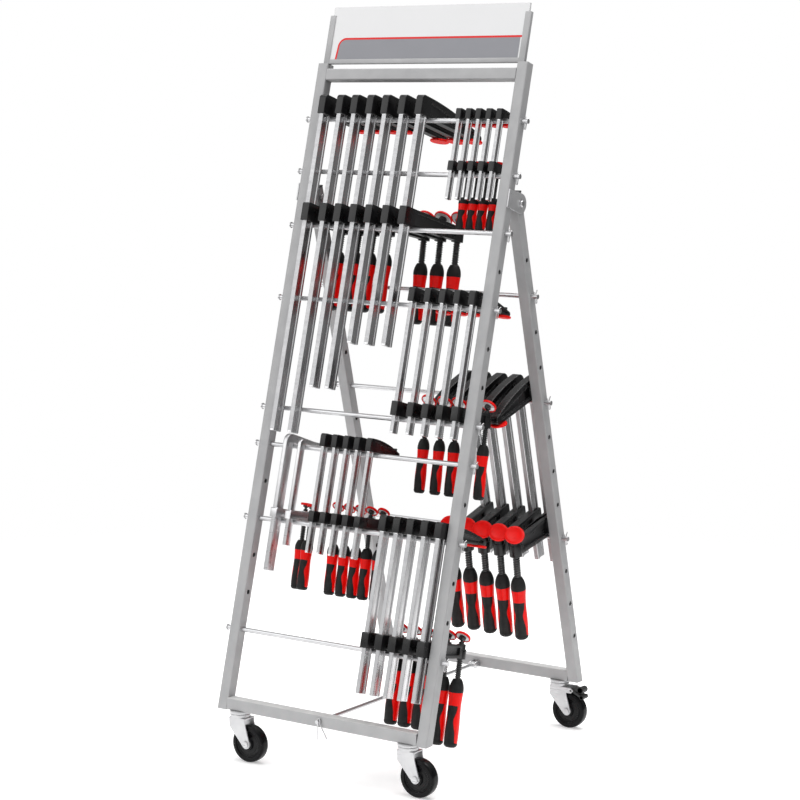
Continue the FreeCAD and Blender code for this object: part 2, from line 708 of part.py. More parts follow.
def brake_pedal():
    """A rocker over the wheel: a tread to step on, a heel to lift, and a pin in the fork's ears."""
    pin = Vector(pedal_pin_ahead, 0, pedal_pin_height)
    hub = rod_along(Vector(0, 1, 0), pedal_hub_radius, pedal_width, pin - Vector(0, pedal_width / 2, 0))
    pin_length = fork_inside + 2 * fork_thickness
    shaft = rod_along(Vector(0, 1, 0), pedal_pin_radius, pin_length, pin - Vector(0, pin_length / 2, 0))
    tread = pedal_arm(pedal_tread_length, pedal_tread_thickness, pedal_tread_roll_radius,
                      Placement(pin + Vector(0, 0, pedal_rise), Rotation()))
    heel = pedal_arm(pedal_heel_length, pedal_heel_thickness, pedal_heel_roll_radius,
                     Placement(pin, Rotation(Vector(0, 1, 0), -pedal_heel_deg)))
    return hub.fuse([shaft, tread, heel]).removeSplitter()


def clamp_place(across, row_height, on_back):
    """Where a clamp hangs: its rail's inner face against the rods, its arm over one of them."""
    seat = row_height + rod_radius + rest_gap
    if on_back:
        local = Placement(Vector(across, tube / 2 + rod_radius + rest_gap, seat),
                          Rotation(Vector(0, 0, 1), 180))
        return back_frame.multiply(local)
    local = Placement(Vector(across, tube / 2 - rod_radius - rest_gap, seat), Rotation())
    return front_frame.multiply(local)


def rail_top(kind):
    """How high the rail reaches inside the head, half a wall under the head's rounded corner."""
    corner = kind.head_height * kind.head_corner_share
    across = max(corner - kind.wall, 0)
    head_top = kind.head_height + kind.wall / 2
    return head_top - corner + math.sqrt(corner * corner - across * across) - kind.wall / 2


def clamp_rail(kind):
    """The flat rail; its length is measured from the height of the head."""
    low = kind.head_height - kind.rail_length
    return bar(kind.rail_thickness, kind.rail_depth, rail_top(kind) - low, 0, -kind.rail_depth / 2, low)


def fixed_arm_outline(kind):
    """The fixed arm seen from the side: a head at the rail, a back that curves over a knee, and a tip."""
    outer = -kind.rail_depth - kind.wall
    corner = kind.head_height * kind.head_corner_share
    knee = (kind.arm_reach * arm_knee_share, kind.head_height * arm_knee_height_share)
    tip_top = kind.underside_rise + kind.tip_height
    bend = corner * (1 - math.cos(math.pi / 4))
    top = kind.head_height + kind.wall / 2
    arc = [((outer, top - corner), (outer + bend, top - bend), (outer + corner, top))]
    nose = kind.tip_height / 2
    nose_arc = [((kind.arm_reach - nose, tip_top), (kind.arm_reach, tip_top - nose),
                 (kind.arm_reach - nose, kind.underside_rise))]
    lip = [((outer, -kind.lip), (outer, top - corner))]
    upper = [((outer + corner, top), knee, (kind.arm_reach - nose, tip_top))]
    if kind.lip > 0:
        lower = lines_through((kind.arm_reach - nose, kind.underside_rise), (0, 0), (0, -kind.lip),
                              (outer, -kind.lip))
    else:
        lower = lines_through((kind.arm_reach - nose, kind.underside_rise), (0, 0), (outer, 0))
    return lip + arc + upper + nose_arc + lower


def web_pockets(kind, near, far, low_near, low_far, high_near, high_far):
    """Two shallow pockets that leave a flanged arm, one on each side."""
    web = kind.head_width * jaw_web_share
    depth = (kind.head_width - web) / 2
    corners = ((near, low_near), (near, high_near), (far, high_far), (far, low_far), (near, low_near))
    return [outline_solid(lines_through(*corners), depth + overrun,
                          side * (web / 2 + (depth + overrun) / 2)) for side in (-1, 1)]


def fixed_jaw(kind):
    """The fixed jaw, gripping the top end of the rail."""
    shape = outline_solid(fixed_arm_outline(kind), kind.head_width, 0)
    slot = bar(kind.rail_thickness, kind.rail_depth, rail_top(kind) + kind.lip, 0,
               -kind.rail_depth / 2, -kind.lip)
    flange = kind.head_height * jaw_flange_share
    knee_height = kind.head_height * arm_knee_height_share
    near = flange
    far = kind.arm_reach - kind.tip_height
    tip_top = kind.underside_rise + kind.tip_height
    pockets = web_pockets(kind, near, far, flange, kind.underside_rise + flange,
                          knee_height - flange, tip_top - flange / 2)
    shape = shape.cut(slot).cut(pockets)
    if kind.tooth > 0:
        tooth = bar(kind.head_width / 2, kind.tooth, kind.tip_height / 2 + kind.tooth, 0,
                    kind.arm_reach - kind.tip_height, tip_top - kind.tip_height / 2 + kind.tooth)
        shape = shape.fuse(tooth).removeSplitter()
    return shape


def spindle_axis(kind):
    """The spindle's mid-boss point and its direction, pointing up; its foot leans off the rail."""
    lean = math.radians(kind.lean_deg)
    lift = kind.spindle_reach * math.tan(lean) / 2
    middle = Vector(0, kind.spindle_reach, lift + kind.jaw_height / 2)
    return middle, Vector(0, -math.sin(lean), math.cos(lean))


def sliding_jaw(kind):
    """The sliding jaw: a head that slides on the rail, a flanged arm and a threaded boss."""
    width = kind.jaw_width
    outer = -kind.rail_depth - kind.wall
    middle, along = spindle_axis(kind)
    corner = kind.wall * slide_corner_share
    tip = kind.spindle_reach
    half = kind.boss_height / 2 * boss_hold_share
    root = rod_radius * 2 + rest_gap * 2
    outline = lines_through((outer, 0), (outer, kind.jaw_height - corner),
                            (outer + corner, kind.jaw_height), (root, kind.jaw_height),
                            (tip, middle.z + half), (tip, middle.z - half), (root, 0), (outer, 0))
    shape = outline_solid(outline, width, 0)
    slot = bar(kind.rail_thickness + 2 * touch_gap, kind.rail_depth + 2 * touch_gap,
               kind.jaw_height + 2 * overrun, 0, -kind.rail_depth / 2, -overrun)
    flange = kind.jaw_height * jaw_flange_share
    if not kind.bent_steel:
        shape = shape.cut(web_pockets(kind, root, tip - kind.boss_radius - flange,
                                      flange, middle.z - half + flange,
                                      kind.jaw_height - flange, middle.z + half - flange))
    boss_low = middle - along * (kind.boss_height / 2)
    thick_height = kind.boss_height * (1 - boss_neck_height_share)
    boss = rod_along(along, kind.boss_radius, thick_height, boss_low)
    neck = rod_along(along, kind.boss_radius * boss_neck_share, kind.boss_height, boss_low)
    bore = rod_along(along, kind.spindle_radius + spindle_fit_gap, 2 * kind.boss_height,
                     middle - along * kind.boss_height)
    return shape.cut(slot).fuse([boss, neck]).removeSplitter().cut(bore)


def collar_top(kind):
    """Where the spindle enters the grip."""
    middle, along = spindle_axis(kind)
    drop = (middle.z + kind.collar_drop) / math.cos(math.radians(kind.lean_deg))
    return middle - along * drop


def pad_centre(kind):
    """The centre of the spindle's ball, above the boss."""
    middle, along = spindle_axis(kind)
    return middle + along * (kind.boss_height / 2 + kind.spindle_radius + pad_thickness)


def spindle(kind):
    """The spindle, from inside the grip up to its ball."""
    middle, along = spindle_axis(kind)
    low = collar_top(kind) - along * (kind.grip_length * grip_bore_share)
    ball = pad_centre(kind)
    shaft = rod_along(along, kind.spindle_radius, (ball - low).Length - kind.spindle_radius, low)
    neck = rod_along(along, kind.spindle_radius * pad_ball_share / 2, (ball - low).Length, low)
    sphere = Part.makeSphere(kind.spindle_radius * pad_ball_share, ball)
    return shaft.fuse([neck, sphere]).removeSplitter()


def grip(kind):
    """The screwdriver-like grip: a tapered collar, a waist and a rounded end."""
    along = spindle_axis(kind)[1]
    spots = [Vector(share * kind.grip_radius, 0, -place * kind.grip_length)
             for place, share in grip_shares]
    top = Vector(0, 0, 0)
    low = Vector(0, 0, -kind.grip_length)
    edges = [Part.makeLine(top, spots[0])]
    for first in range(0, len(spots) - 1, 2):
        edges.append(Part.Arc(spots[first], spots[first + 1], spots[first + 2]).toShape())
    edges.append(Part.makeLine(spots[-1], low))
    edges.append(Part.makeLine(low, top))
    shape = Part.Face(Part.Wire(edges)).revolve(Vector(0, 0, 0), Vector(0, 0, 1), 360)
    bore_depth = kind.grip_length * grip_bore_share
    shape = shape.cut(rod_along(Vector(0, 0, -1), kind.spindle_radius, bore_depth, top))
    return placed(shape, Placement(collar_top(kind), Rotation(Vector(0, 0, 1), along)))


def moving_pad(kind):
    """The pressure pad on the spindle's ball, flopped over to one side."""
    ball = pad_centre(kind)
    ball_radius = kind.spindle_radius * pad_ball_share
    plate = rod_along(Vector(0, 0, 1), kind.pad_radius, pad_thickness, Vector(0, 0, ball_radius / 2))
    plate = plate.makeFillet(pad_thickness / 4, [plate.Edges[0], plate.Edges[2]])
    hold = ball_radius * pad_hold_share
    socket = rod_along(Vector(0, 0, 1), ball_radius * pad_socket_share, ball_radius + hold,
                       Vector(0, 0, -hold))
    shape = plate.fuse(socket).removeSplitter()
    shape = shape.cut(Part.makeSphere(ball_radius + run_gap))
    heading = math.radians(kind.flop_heading_deg)
    hinge_line = Vector(-math.sin(heading), math.cos(heading), 0)
    return placed(shape, Placement(ball, Rotation(hinge_line, kind.flop_deg)))


def fixed_pad(kind):
    """The pad under the tip of the fixed arm."""
    y = kind.arm_reach - kind.fixed_pad_radius
    slope = math.degrees(math.atan2(kind.underside_rise, kind.arm_reach - kind.tip_height / 2))
    height = y * math.tan(math.radians(slope))
    plate = rod_along(Vector(0, 0, -1), kind.fixed_pad_radius, fixed_pad_thickness, Vector(0, 0, 0))
    plate = plate.makeFillet(fixed_pad_thickness / 4, [plate.Edges[0], plate.Edges[2]])
    return placed(plate, Placement(Vector(0, y, height), Rotation(Vector(1, 0, 0), slope)))


def steel_frame(kind):
    """The rail of an all-steel clamp, bent over at the top into its fixed arm."""
    outer = -kind.rail_depth
    corner = kind.head_height * steel_corner_share
    bend = corner * (1 - math.cos(math.pi / 4))
    top = kind.head_height
    nose = kind.tip_height / 2
    tip_top = kind.underside_rise + kind.tip_height
    arc = [((outer, top - corner), (outer + bend, top - bend), (outer + corner, top))]
    nose_arc = [((kind.arm_reach - nose, tip_top), (kind.arm_reach, tip_top - nose),
                 (kind.arm_reach - nose, kind.underside_rise))]
    low = top - kind.rail_length
    outline = lines_through((0, low), (outer, low), (outer, top - corner)) + arc
    outline += lines_through((outer + corner, top), (kind.arm_reach - nose, tip_top)) + nose_arc
    outline += lines_through((kind.arm_reach - nose, kind.underside_rise), (0, 0), (0, low))
    return outline_solid(outline, kind.rail_thickness, 0)


# Make every piece, node by node
nodes = {}


def keep(node, solids):
    """Adds one solid or a list of solids to a node."""
    if not isinstance(solids, (list, tuple)):
        solids = [solids]
    nodes.setdefault(node, []).extend(solids)


keep("front_upright_left", upright(-1, front_upright_length, front_rows, front_frame, half_width))
keep("front_upright_right", upright(1, front_upright_length, front_rows, front_frame, half_width))
keep("front_top_rail", front_top_rail())
keep("front_bottom_rail", front_bottom_rail())
keep("back_upright_left", back_upright(-1))
keep("back_upright_right", back_upright(1))
keep("back_bottom_rail", level_rail(rail_y, inner_half - hinge_side_gap))
keep("sign_channel", sign_channel())
keep("sign_panel", sign_panel())
keep("stay_lug", stay_lug())
keep("stay_rod", stay_rod())
keep("stay_clip", stay_clip())

for side in (-1, 1):
    keep("hinge_brackets", hinge_bracket(side))
    keep("hinge_bolts", hinge_bolt(side))
    keep("sign_posts", sign_post(side))
    keep("front_tube_plugs", foot_plug(side, front_frame, half_width, front_lean_deg))
    keep("front_tube_plugs", front_top_plug(side))
    keep("back_tube_plugs", foot_plug(side, back_frame, back_half, back_lean_deg))
    keep("back_tube_plugs", back_top_plug(side))

for row in front_rod_counts.values():
    keep("front_hanging_rods", hanging_rod(front_rows[row], front_frame))
    keep("front_rod_clips", rod_clip(front_rows[row], front_frame))
for row in back_rod_counts.values():
    keep("back_hanging_rods", hanging_rod(back_rows[row], back_frame))
    keep("back_rod_clips", rod_clip(back_rows[row], back_frame))

for y_name, y_side in (("front", -1), ("back", 1)):
    for x_name, x_side in (("left", -1), ("right", 1)):
        place = castor_place(x_side, y_side)
        corner_name = y_name + "_" + x_name
        braked = y_side > 0
        keep(y_name + "_castor_stems", placed(castor_stem(), place))
        keep("castor_fork_" + corner_name, placed(castor_fork(braked), place))
        keep("castor_wheel_" + corner_name, placed(castor_wheel(), place))
        keep("castor_axle_" + corner_name, placed(castor_axle(), place))
        if braked:
            keep("brake_pedal_" + corner_name, placed(brake_pedal(), place))

for frame_name, hung, rows, counts in (("front", front_hung, front_rows, front_rod_counts),
                                       ("back", back_hung, back_rows, back_rod_counts)):
    on_back = frame_name == "back"
    for kind, hang_rod, rest_rod in hung:
        shares = place_shares[kind]
        for share, screw_share in zip(shares, screw_shares.get(kind, [0.0] * len(shares))):
            across = share * inner_half
            top_place = clamp_place(across, rows[counts[hang_rod]], on_back)
            low_place = clamp_place(across, rows[counts[rest_rod]], on_back)
            backed_out = spindle_axis(kind)[1] * (-screw_share * screw_travel)
            screw_place = low_place.multiply(Placement(backed_out, Rotation()))
            rail_nodes = "steel_clamp_bars" if kind.bent_steel else frame_name + "_clamp_rails"
            jaw_nodes = "steel_clamp_jaws" if kind.bent_steel else frame_name + "_sliding_jaws"
            group = frame_name + "_"
            many = "s"
            if kind is heavy_back and share == max(shares):
                jaw_nodes = "moving_jaw"
                group = "moving_"
                many = ""
            if kind.bent_steel:
                keep(rail_nodes, placed(steel_frame(kind), top_place))
            else:
                keep(rail_nodes, placed(clamp_rail(kind), top_place))
                keep(frame_name + "_fixed_jaws", placed(fixed_jaw(kind), top_place))
                keep(frame_name + "_fixed_pads", placed(fixed_pad(kind), top_place))
            keep(jaw_nodes, placed(sliding_jaw(kind), low_place))
            keep(group + "spindle" + many, placed(spindle(kind), screw_place))
            keep(group + "grip" + many, placed(grip(kind), screw_place))
            keep(group + "pad" + many, placed(moving_pad(kind), screw_place))

os.makedirs("parts", exist_ok=True)
for node, solids in nodes.items():
    shape = solids[0] if len(solids) == 1 else Part.makeCompound(solids)
    shape.exportStep("parts/" + node + ".step")
print(len(nodes), "nodes,", sum(len(solids) for solids in nodes.values()), "solids")
print("hinge pivot", pivot, "stay pivot", stay_pivot, "stay front", stay_front_end())
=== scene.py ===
import math

import bmesh
import bpy
import numpy as np
from mathutils import Matrix, Vector


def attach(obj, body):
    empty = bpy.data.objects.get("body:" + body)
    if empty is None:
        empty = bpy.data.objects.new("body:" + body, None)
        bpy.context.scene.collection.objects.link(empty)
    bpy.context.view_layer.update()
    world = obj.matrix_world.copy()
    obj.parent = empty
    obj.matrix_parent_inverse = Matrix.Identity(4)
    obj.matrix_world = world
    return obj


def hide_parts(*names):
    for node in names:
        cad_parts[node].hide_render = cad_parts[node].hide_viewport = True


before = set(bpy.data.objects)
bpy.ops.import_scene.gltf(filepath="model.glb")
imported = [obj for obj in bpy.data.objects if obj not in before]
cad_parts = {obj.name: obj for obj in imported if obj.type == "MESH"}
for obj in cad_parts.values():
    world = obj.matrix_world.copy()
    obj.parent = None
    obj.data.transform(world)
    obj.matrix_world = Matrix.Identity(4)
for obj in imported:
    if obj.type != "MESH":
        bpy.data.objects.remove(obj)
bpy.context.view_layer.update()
scene = bpy.context.scene
mm = 0.001
chance = np.random.default_rng(7)


# Placing and mesh making, in millimetres until a piece is made

def shiftTo(x, y, z):
    return Matrix.Translation((x, y, z))


def turnAbout(degrees, axis):
    return Matrix.Rotation(math.radians(degrees), 4, axis)


def newStore():
    return {"points": [], "faces": [], "maps": [], "slots": [], "total": 0}


def addGrid(store, rows, place=None, slot=0, loop=False, caps="", heights=None):
    # rows is an array of closed rings of points, and loop joins the last ring to the first
    count, around = rows.shape[:2]
    points = rows.reshape(-1, 3)
    if place is not None:
        turn = np.array(place.to_3x3())
        points = points @ turn.T + np.array(place.translation)
    r = np.arange(count if loop else count - 1)[:, None]
    c = np.arange(around)[None, :]
    rNext = (r + 1) % count
    cNext = (c + 1) % around
    start = store["total"]
    corners = (r * around + c, r * around + cNext, rNext * around + cNext, rNext * around + c)
    quads = np.stack(corners, axis=-1).reshape(-1, 4) + start
    if heights is None:
        heights = np.linspace(0.0, 1.0, count)
    heights = np.append(heights, heights[-1])
    shape = (len(r), around, 4)
    u = np.stack((c, c + 1, c + 1, c), axis=-1) / around
    v = np.stack((heights[r], heights[r], heights[r + 1], heights[r + 1]), axis=-1)
    spots = np.stack((np.broadcast_to(u, shape), np.broadcast_to(v, shape)), axis=-1)
    store["points"].append(points)
    store["faces"].extend(quads.tolist())
    store["maps"].append(spots.reshape(-1, 2))
    store["slots"].extend([slot] * len(quads))
    for end in caps:
        ring = 0 if end == "a" else count - 1
        first = start + ring * around
        store["faces"].append(list(range(first, first + around)))
        store["maps"].append(np.column_stack([np.linspace(0, 1, around), np.full(around, heights[ring])]))
        store["slots"].append(slot)
    store["total"] += count * around


def ringRows(profile, around):
    # profile is a list of (radius, height) pairs
    spots = np.array(profile, float)
    turn = np.arange(around) * 2 * math.pi / around
    x = spots[:, :1] * np.sin(turn)
    y = -spots[:, :1] * np.cos(turn)
    z = np.repeat(spots[:, 1:], around, axis=1)
    return np.stack([x, y, z], axis=-1)


def addLathe(store, profile, place, around, slot=0, loop=False, caps=""):
    addGrid(store, ringRows(profile, around), place, slot, loop=loop, caps=caps)


def newMesh(name, store):
    mesh = bpy.data.meshes.new(name)
    mesh.from_pydata((np.concatenate(store["points"]) * mm).tolist(), [], store["faces"])
    return mesh


def linked(name, data):
    piece = bpy.data.objects.new(name, data)
    scene.collection.objects.link(piece)
    return piece


def pieceName(words):
    first, *rest = words.split("_")
    return first + "".join(word.capitalize() for word in rest)


def mount(piece, body, slotName, *nodes):
    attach(piece, body)
    if nodes:
        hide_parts(*nodes)


def makePiece(name, store, finishes, body, slotName, *nodes, sharp):
    mesh = newMesh(name, store)
    layer = mesh.uv_layers.new(name="around")
    layer.data.foreach_set("uv", np.concatenate(store["maps"]).ravel())
    for finish in finishes:
        mesh.materials.append(finish)
    mesh.polygons.foreach_set("material_index", store["slots"])
    form = bmesh.new()
    form.from_mesh(mesh)
    bmesh.ops.recalc_face_normals(form, faces=form.faces)
    form.to_mesh(mesh)
    form.free()
    mesh.shade_smooth()
    mesh.set_sharp_from_angle(angle=math.radians(sharp))
    mount(linked(name, mesh), body, slotName, *nodes)


# Node helpers

def put(tree, kind, **settings):
    node = tree.nodes.new("ShaderNode" + kind)
    for key, value in settings.items():
        setattr(node, key, value)
    return node


def feed(tree, socket, value):
    if hasattr(value, "is_output"):
        tree.links.new(value, socket)
    else:
        socket.default_value = value


def maths(tree, operation, first, second=0.0, clamp=False):
    node = put(tree, "Math", operation=operation, use_clamp=clamp)
    feed(tree, node.inputs[0], first)
    feed(tree, node.inputs[1], second)
    return node.outputs[0]


def times(tree, first, second, clamp=False):
    return maths(tree, "MULTIPLY", first, second, clamp)


def vectorMaths(tree, operation, first, second=(0.0, 0.0, 0.0)):
    node = put(tree, "VectorMath", operation=operation)
    feed(tree, node.inputs[0], first)
    feed(tree, node.inputs[1], second)
    return node.outputs["Value" if operation in ("DOT_PRODUCT", "LENGTH") else "Vector"]


def spread(tree, value, fromLow, fromHigh, low, high):
    node = put(tree, "MapRange", clamp=True)
    for socket, number in zip(node.inputs, (value, fromLow, fromHigh, low, high)):
        feed(tree, socket, number)
    return node.outputs[0]


def below(tree, value, limit, blur):
    # 1 where the value is under the limit, 0 where it is over
    return spread(tree, value, limit - blur, limit + blur, 1.0, 0.0)


def blendColours(tree, share, first, second):
    node = put(tree, "Mix", data_type="RGBA")
    feed(tree, node.inputs[0], share)
    feed(tree, node.inputs[6], first)
    feed(tree, node.inputs[7], second)
    return node.outputs[2]


def noise(tree, vector, scale, detail=3.0, roughness=0.5):
    node = put(tree, "TexNoise")
    feed(tree, node.inputs["Vector"], vector)
    feed(tree, node.inputs["Scale"], scale)
    feed(tree, node.inputs["Detail"], detail)
    feed(tree, node.inputs["Roughness"], roughness)
    return node.outputs[0]


def axes(tree, vector):
    node = put(tree, "SeparateXYZ")
    feed(tree, node.inputs[0], vector)
    return node.outputs


def joined(tree, *parts):
    node = put(tree, "CombineXYZ")
    for socket, part in zip(node.inputs, parts):
        feed(tree, socket, part)
    return node.outputs[0]


def faceNormal(tree):
    return put(tree, "NewGeometry").outputs["Normal"]


def startGroup(name, inputs, outputs):
    group = bpy.data.node_groups.new(name, "ShaderNodeTree")
    for label, kind, value in inputs:
        socket = group.interface.new_socket(name=label, in_out="INPUT", socket_type="NodeSocket" + kind)
        if value is not None:
            socket.default_value = value
    for label in outputs:
        group.interface.new_socket(name=label, in_out="OUTPUT", socket_type="NodeSocketFloat")
    return group, group.nodes.new("NodeGroupInput").outputs, group.nodes.new("NodeGroupOutput").inputs


def useGroup(tree, group, **values):
    node = put(tree, "Group", node_tree=group)
    for label, value in values.items():
        feed(tree, node.inputs[label.replace("_", " ")], value)
    return node.outputs


# Effects that more than one finish uses

def makeEdgeWearAndHighlight():
    # bright edges broken up by noise: worn edges, and on the black arms and jaws also a painted highlight
    # along the rounded rims
    look = {"samples": 4, "chips": (0.38, 0.62, 0.25, 1.0)}
    group, given, result = startGroup(
        "edgeWearAndHighlight", (("Vector", "Vector", None), ("Radius", "Float", 0.001), ("Reach", "Float", 2.5),
                     ("Break Up", "Float", 180.0)), ("Mask",))
    rounded = put(group, "Bevel", samples=look["samples"])
    feed(group, rounded.inputs["Radius"], given["Radius"])
    straight = vectorMaths(group, "DOT_PRODUCT", rounded.outputs[0], faceNormal(group))
    turned = maths(group, "SUBTRACT", 1.0, straight)
    edge = times(group, turned, given["Reach"], clamp=True)
    chips = spread(group, noise(group, given["Vector"], given["Break Up"]), *look["chips"])
    feed(group, result["Mask"], times(group, edge, chips, clamp=True))
    return group


def makeFineGrain():
    # fine grain of castings and mouldings, with a broad change of tone
    look = {"broad share": 0.06, "broad detail": 4.0, "tone": (0.3, 0.7, 0.0, 1.0), "fine detail": 2.0}
    group, given, result = startGroup(
        "fineGrain", (("Vector", "Vector", None), ("Scale", "Float", 900.0)), ("Tone", "Height"))
    broadScale = times(group, given["Scale"], look["broad share"])
    broad = noise(group, given["Vector"], broadScale, look["broad detail"])
    feed(group, result["Tone"], spread(group, broad, *look["tone"]))
    feed(group, result["Height"], noise(group, given["Vector"], given["Scale"], look["fine detail"]))
    return group


def makeDrawnLines():
    # lines left by drawing or rolling, long along the vector's first axis
    look = {"detail": 4.0, "roughness": 0.7, "tone scale": 0.25, "tone": (0.3, 0.7, 0.0, 1.0)}
    group, given, result = startGroup(
        "drawnLines", (("Vector", "Vector", None), ("Across", "Float", 900.0), ("Along", "Float", 6.0)),
        ("Tone", "Height"))
    stretch = joined(group, given["Along"], given["Across"], given["Across"])
    stretched = vectorMaths(group, "MULTIPLY", given["Vector"], stretch)
    feed(group, result["Height"], noise(group, stretched, 1.0, look["detail"], look["roughness"]))
    feed(group, result["Tone"], spread(group, noise(group, stretched, look["tone scale"]), *look["tone"]))
    return group


def makePaintedTopLightAndDust():
    # faces that look up made lighter: a little dust on the black finishes, and on the powder coat mostly
    # painted light from above
    look = {"scale": 45.0, "detail": 5.0, "patches": (0.35, 0.75, 0.6, 1.0), "level": (0.5, 1.0, 0.0, 1.0)}
    group, given, result = startGroup(
        "paintedTopLightAndDust", (("Vector", "Vector", None), ("Amount", "Float", 0.2)), ("Mask",))
    upward = vectorMaths(group, "DOT_PRODUCT", faceNormal(group), (0.0, 0.0, 1.0))
    patches = spread(group, noise(group, given["Vector"], look["scale"], look["detail"]), *look["patches"])
    lying = times(group, spread(group, upward, *look["level"]), patches)
    feed(group, result["Mask"], times(group, lying, given["Amount"], clamp=True))
    return group


edgeWearAndHighlight = makeEdgeWearAndHighlight()
fineGrain = makeFineGrain()
drawnLines = makeDrawnLines()
paintedTopLightAndDust = makePaintedTopLightAndDust()


# The leaning frames: the slopes, and the steps up them at which the rods lie

frontLean = 14.6
backLean = -16.1
frontFoot = (0.0, -328.5, 107.0)
backFoot = (0.0, 303.5, 107.0)
frontSlope = shiftTo(*frontFoot) @ turnAbout(-frontLean, "X")
backSlope = shiftTo(*backFoot) @ turnAbout(-backLean, "X")
innerHalf = 238.0  # from the middle to the inner face of an upright
tubeHalf = 12.5
rodSeat = 5.3  # from a rod's middle to what hangs on it
rodRows = {"front top": 1288, "front second": 1172, "front third": 1052, "front fourth": 892,
           "front fifth": 652, "front sixth": 572, "front seventh": 412, "front low": 172,
           "back middle": 672.5, "back low": 352.5}
wheelCorners = ("front_left", "front_right", "back_left", "back_right")


# Finishes

def startFinish(name, **sockets):
    material = bpy.data.materials.new(name)
    material.use_nodes = True
    tree = material.node_tree
    shader = tree.nodes["Principled BSDF"]
    for label, value in sockets.items():
        shader.inputs[label.replace("_", " ")].default_value = value
    places = put(tree, "TexCoord").outputs
    return material, tree, shader, places


def grainWearAndHighlight(tree, places, look):
    spot = places["Object"]
    grain = useGroup(tree, fineGrain, Vector=spot, Scale=look["grain"])
    wear = useGroup(tree, edgeWearAndHighlight, Vector=spot, Radius=look["edge"], Reach=look["wear"],
                    Break_Up=look["chips"])
    return grain, wear["Mask"]


def setSurface(tree, shader, look, colour, tone, height):
    relief = put(tree, "Bump")
    feed(tree, relief.inputs["Height"], height)
    relief.inputs["Distance"].default_value = look["depth"]
    relief.inputs["Strength"].default_value = look["strength"]
    feed(tree, shader.inputs["Normal"], relief.outputs[0])
    feed(tree, shader.inputs["Base Color"], colour)
    feed(tree, shader.inputs["Roughness"], spread(tree, tone, 0.0, 1.0, *look["rough"]))


def grey(level, blue=0.0):
    return (level, level, level + blue, 1.0)


def table(columns, rows):
    return {name: dict(zip(columns, row)) for name, row in rows.items()}


def powderFinish():
    look = {"light": grey(0.395, 0.004), "dark": grey(0.350, 0.006), "rough": (0.36, 0.46), "grain": 420.0,
            "depth": 0.00010, "strength": 0.55, "edge": 0.0012, "wear": 1.2, "chips": 60.0,
            "worn": grey(0.68), "worn share": 0.5, "dust": grey(0.74, -0.01), "dust amount": 0.7,
            "inside": grey(0.02), "closed": (0.05, 0.40, 1.0, 0.0), "closed reach": 0.03, "rays": 4}
    material, tree, shader, places = startFinish("powderCoat", Metallic=0.0, Specular_IOR_Level=0.5)
    grain, wear = grainWearAndHighlight(tree, places, look)
    dust = useGroup(tree, paintedTopLightAndDust, Vector=places["Object"], Amount=look["dust amount"])
    colour = blendColours(tree, grain["Tone"], look["light"], look["dark"])
    colour = blendColours(tree, times(tree, wear, look["worn share"]), colour, look["worn"])
    # painted light: upward faces of the powder coat are lightened toward pale grey, standing in for light
    # from above, with a little dust
    colour = blendColours(tree, dust["Mask"], colour, look["dust"])
    closed = put(tree, "AmbientOcclusion", samples=look["rays"])  # painted shade: dark where a tube, hole or crevice closes in
    closed.inputs["Distance"].default_value = look["closed reach"]
    inside = spread(tree, closed.outputs["AO"], *look["closed"])
    # painted shade: the inside colour is laid where the surface is closed in
    colour = blendColours(tree, inside, colour, look["inside"])
    setSurface(tree, shader, look, colour, grain["Tone"], grain["Height"])
    return material


# Zinc and bare steel; lines says how close the drawn lines are
metalLooks = table(("level", "rough", "lines", "metal"), {
    "brightZinc": (0.64, (0.28, 0.40), 1400.0, 1.0),
    "castorZinc": (0.60, (0.26, 0.40), 600.0, 0.6),
    "plateZinc": (0.97, (0.18, 0.30), 600.0, 0.3),
    "barSteel": (0.64, (0.26, 0.40), 900.0, 1.0),
    # painted shade: a darker copy of the rail steel for the toothed narrow edges, which face the key light
    "shadedToothSteel": (0.50, (0.40, 0.56), 900.0, 1.0),
})
metalShared = {"along": 30.0, "grain": 700.0, "dull share": 0.90, "worn share": 1.12, "edge": 0.0008,
               "wear": 1.0, "chips": 90.0, "depth": 0.00001, "strength": 0.3}


def metalFinish(name):
    look = {**metalShared, **metalLooks[name]}
    material, tree, shader, places = startFinish(name, Metallic=look["metal"])
    level = look["level"]
    lines = useGroup(tree, drawnLines, Vector=places["Object"], Across=look["lines"], Along=look["along"])
    grain, wear = grainWearAndHighlight(tree, places, look)
    colour = blendColours(tree, grain["Tone"], grey(level, 0.006), grey(level * look["dull share"], 0.012))
    colour = blendColours(tree, wear, colour, grey(min(1.0, level * look["worn share"])))
    setSurface(tree, shader, look, colour, lines["Tone"], lines["Height"])
    return material


def railFinish():
    look = {"bright": grey(0.70, 0.006), "dull": grey(0.54, 0.010), "groove": grey(0.32, 0.008),
            "groove share": 0.25, "lines": 160.0, "along": 5.0, "rough": (0.18, 0.34), "grain": 500.0,
            "depth": 0.00005, "strength": 0.4, "worn": grey(0.86), "edge": 0.0009, "wear": 2.0,
            "chips": 150.0}
    material, tree, shader, places = startFinish("drawnRail", Metallic=1.0)
    around = axes(tree, places["UV"])
    run = joined(tree, around[1], around[0])  # the lines run down the rail
    lines = useGroup(tree, drawnLines, Vector=run, Across=look["lines"], Along=look["along"])
    grain, wear = grainWearAndHighlight(tree, places, look)
    colour = blendColours(tree, lines["Tone"], look["bright"], look["dull"])
    stain = times(tree, grain["Tone"], look["groove share"])
    colour = blendColours(tree, stain, colour, look["groove"])
    colour = blendColours(tree, wear, colour, look["worn"])
    setSurface(tree, shader, look, colour, lines["Tone"], lines["Height"])
    return material
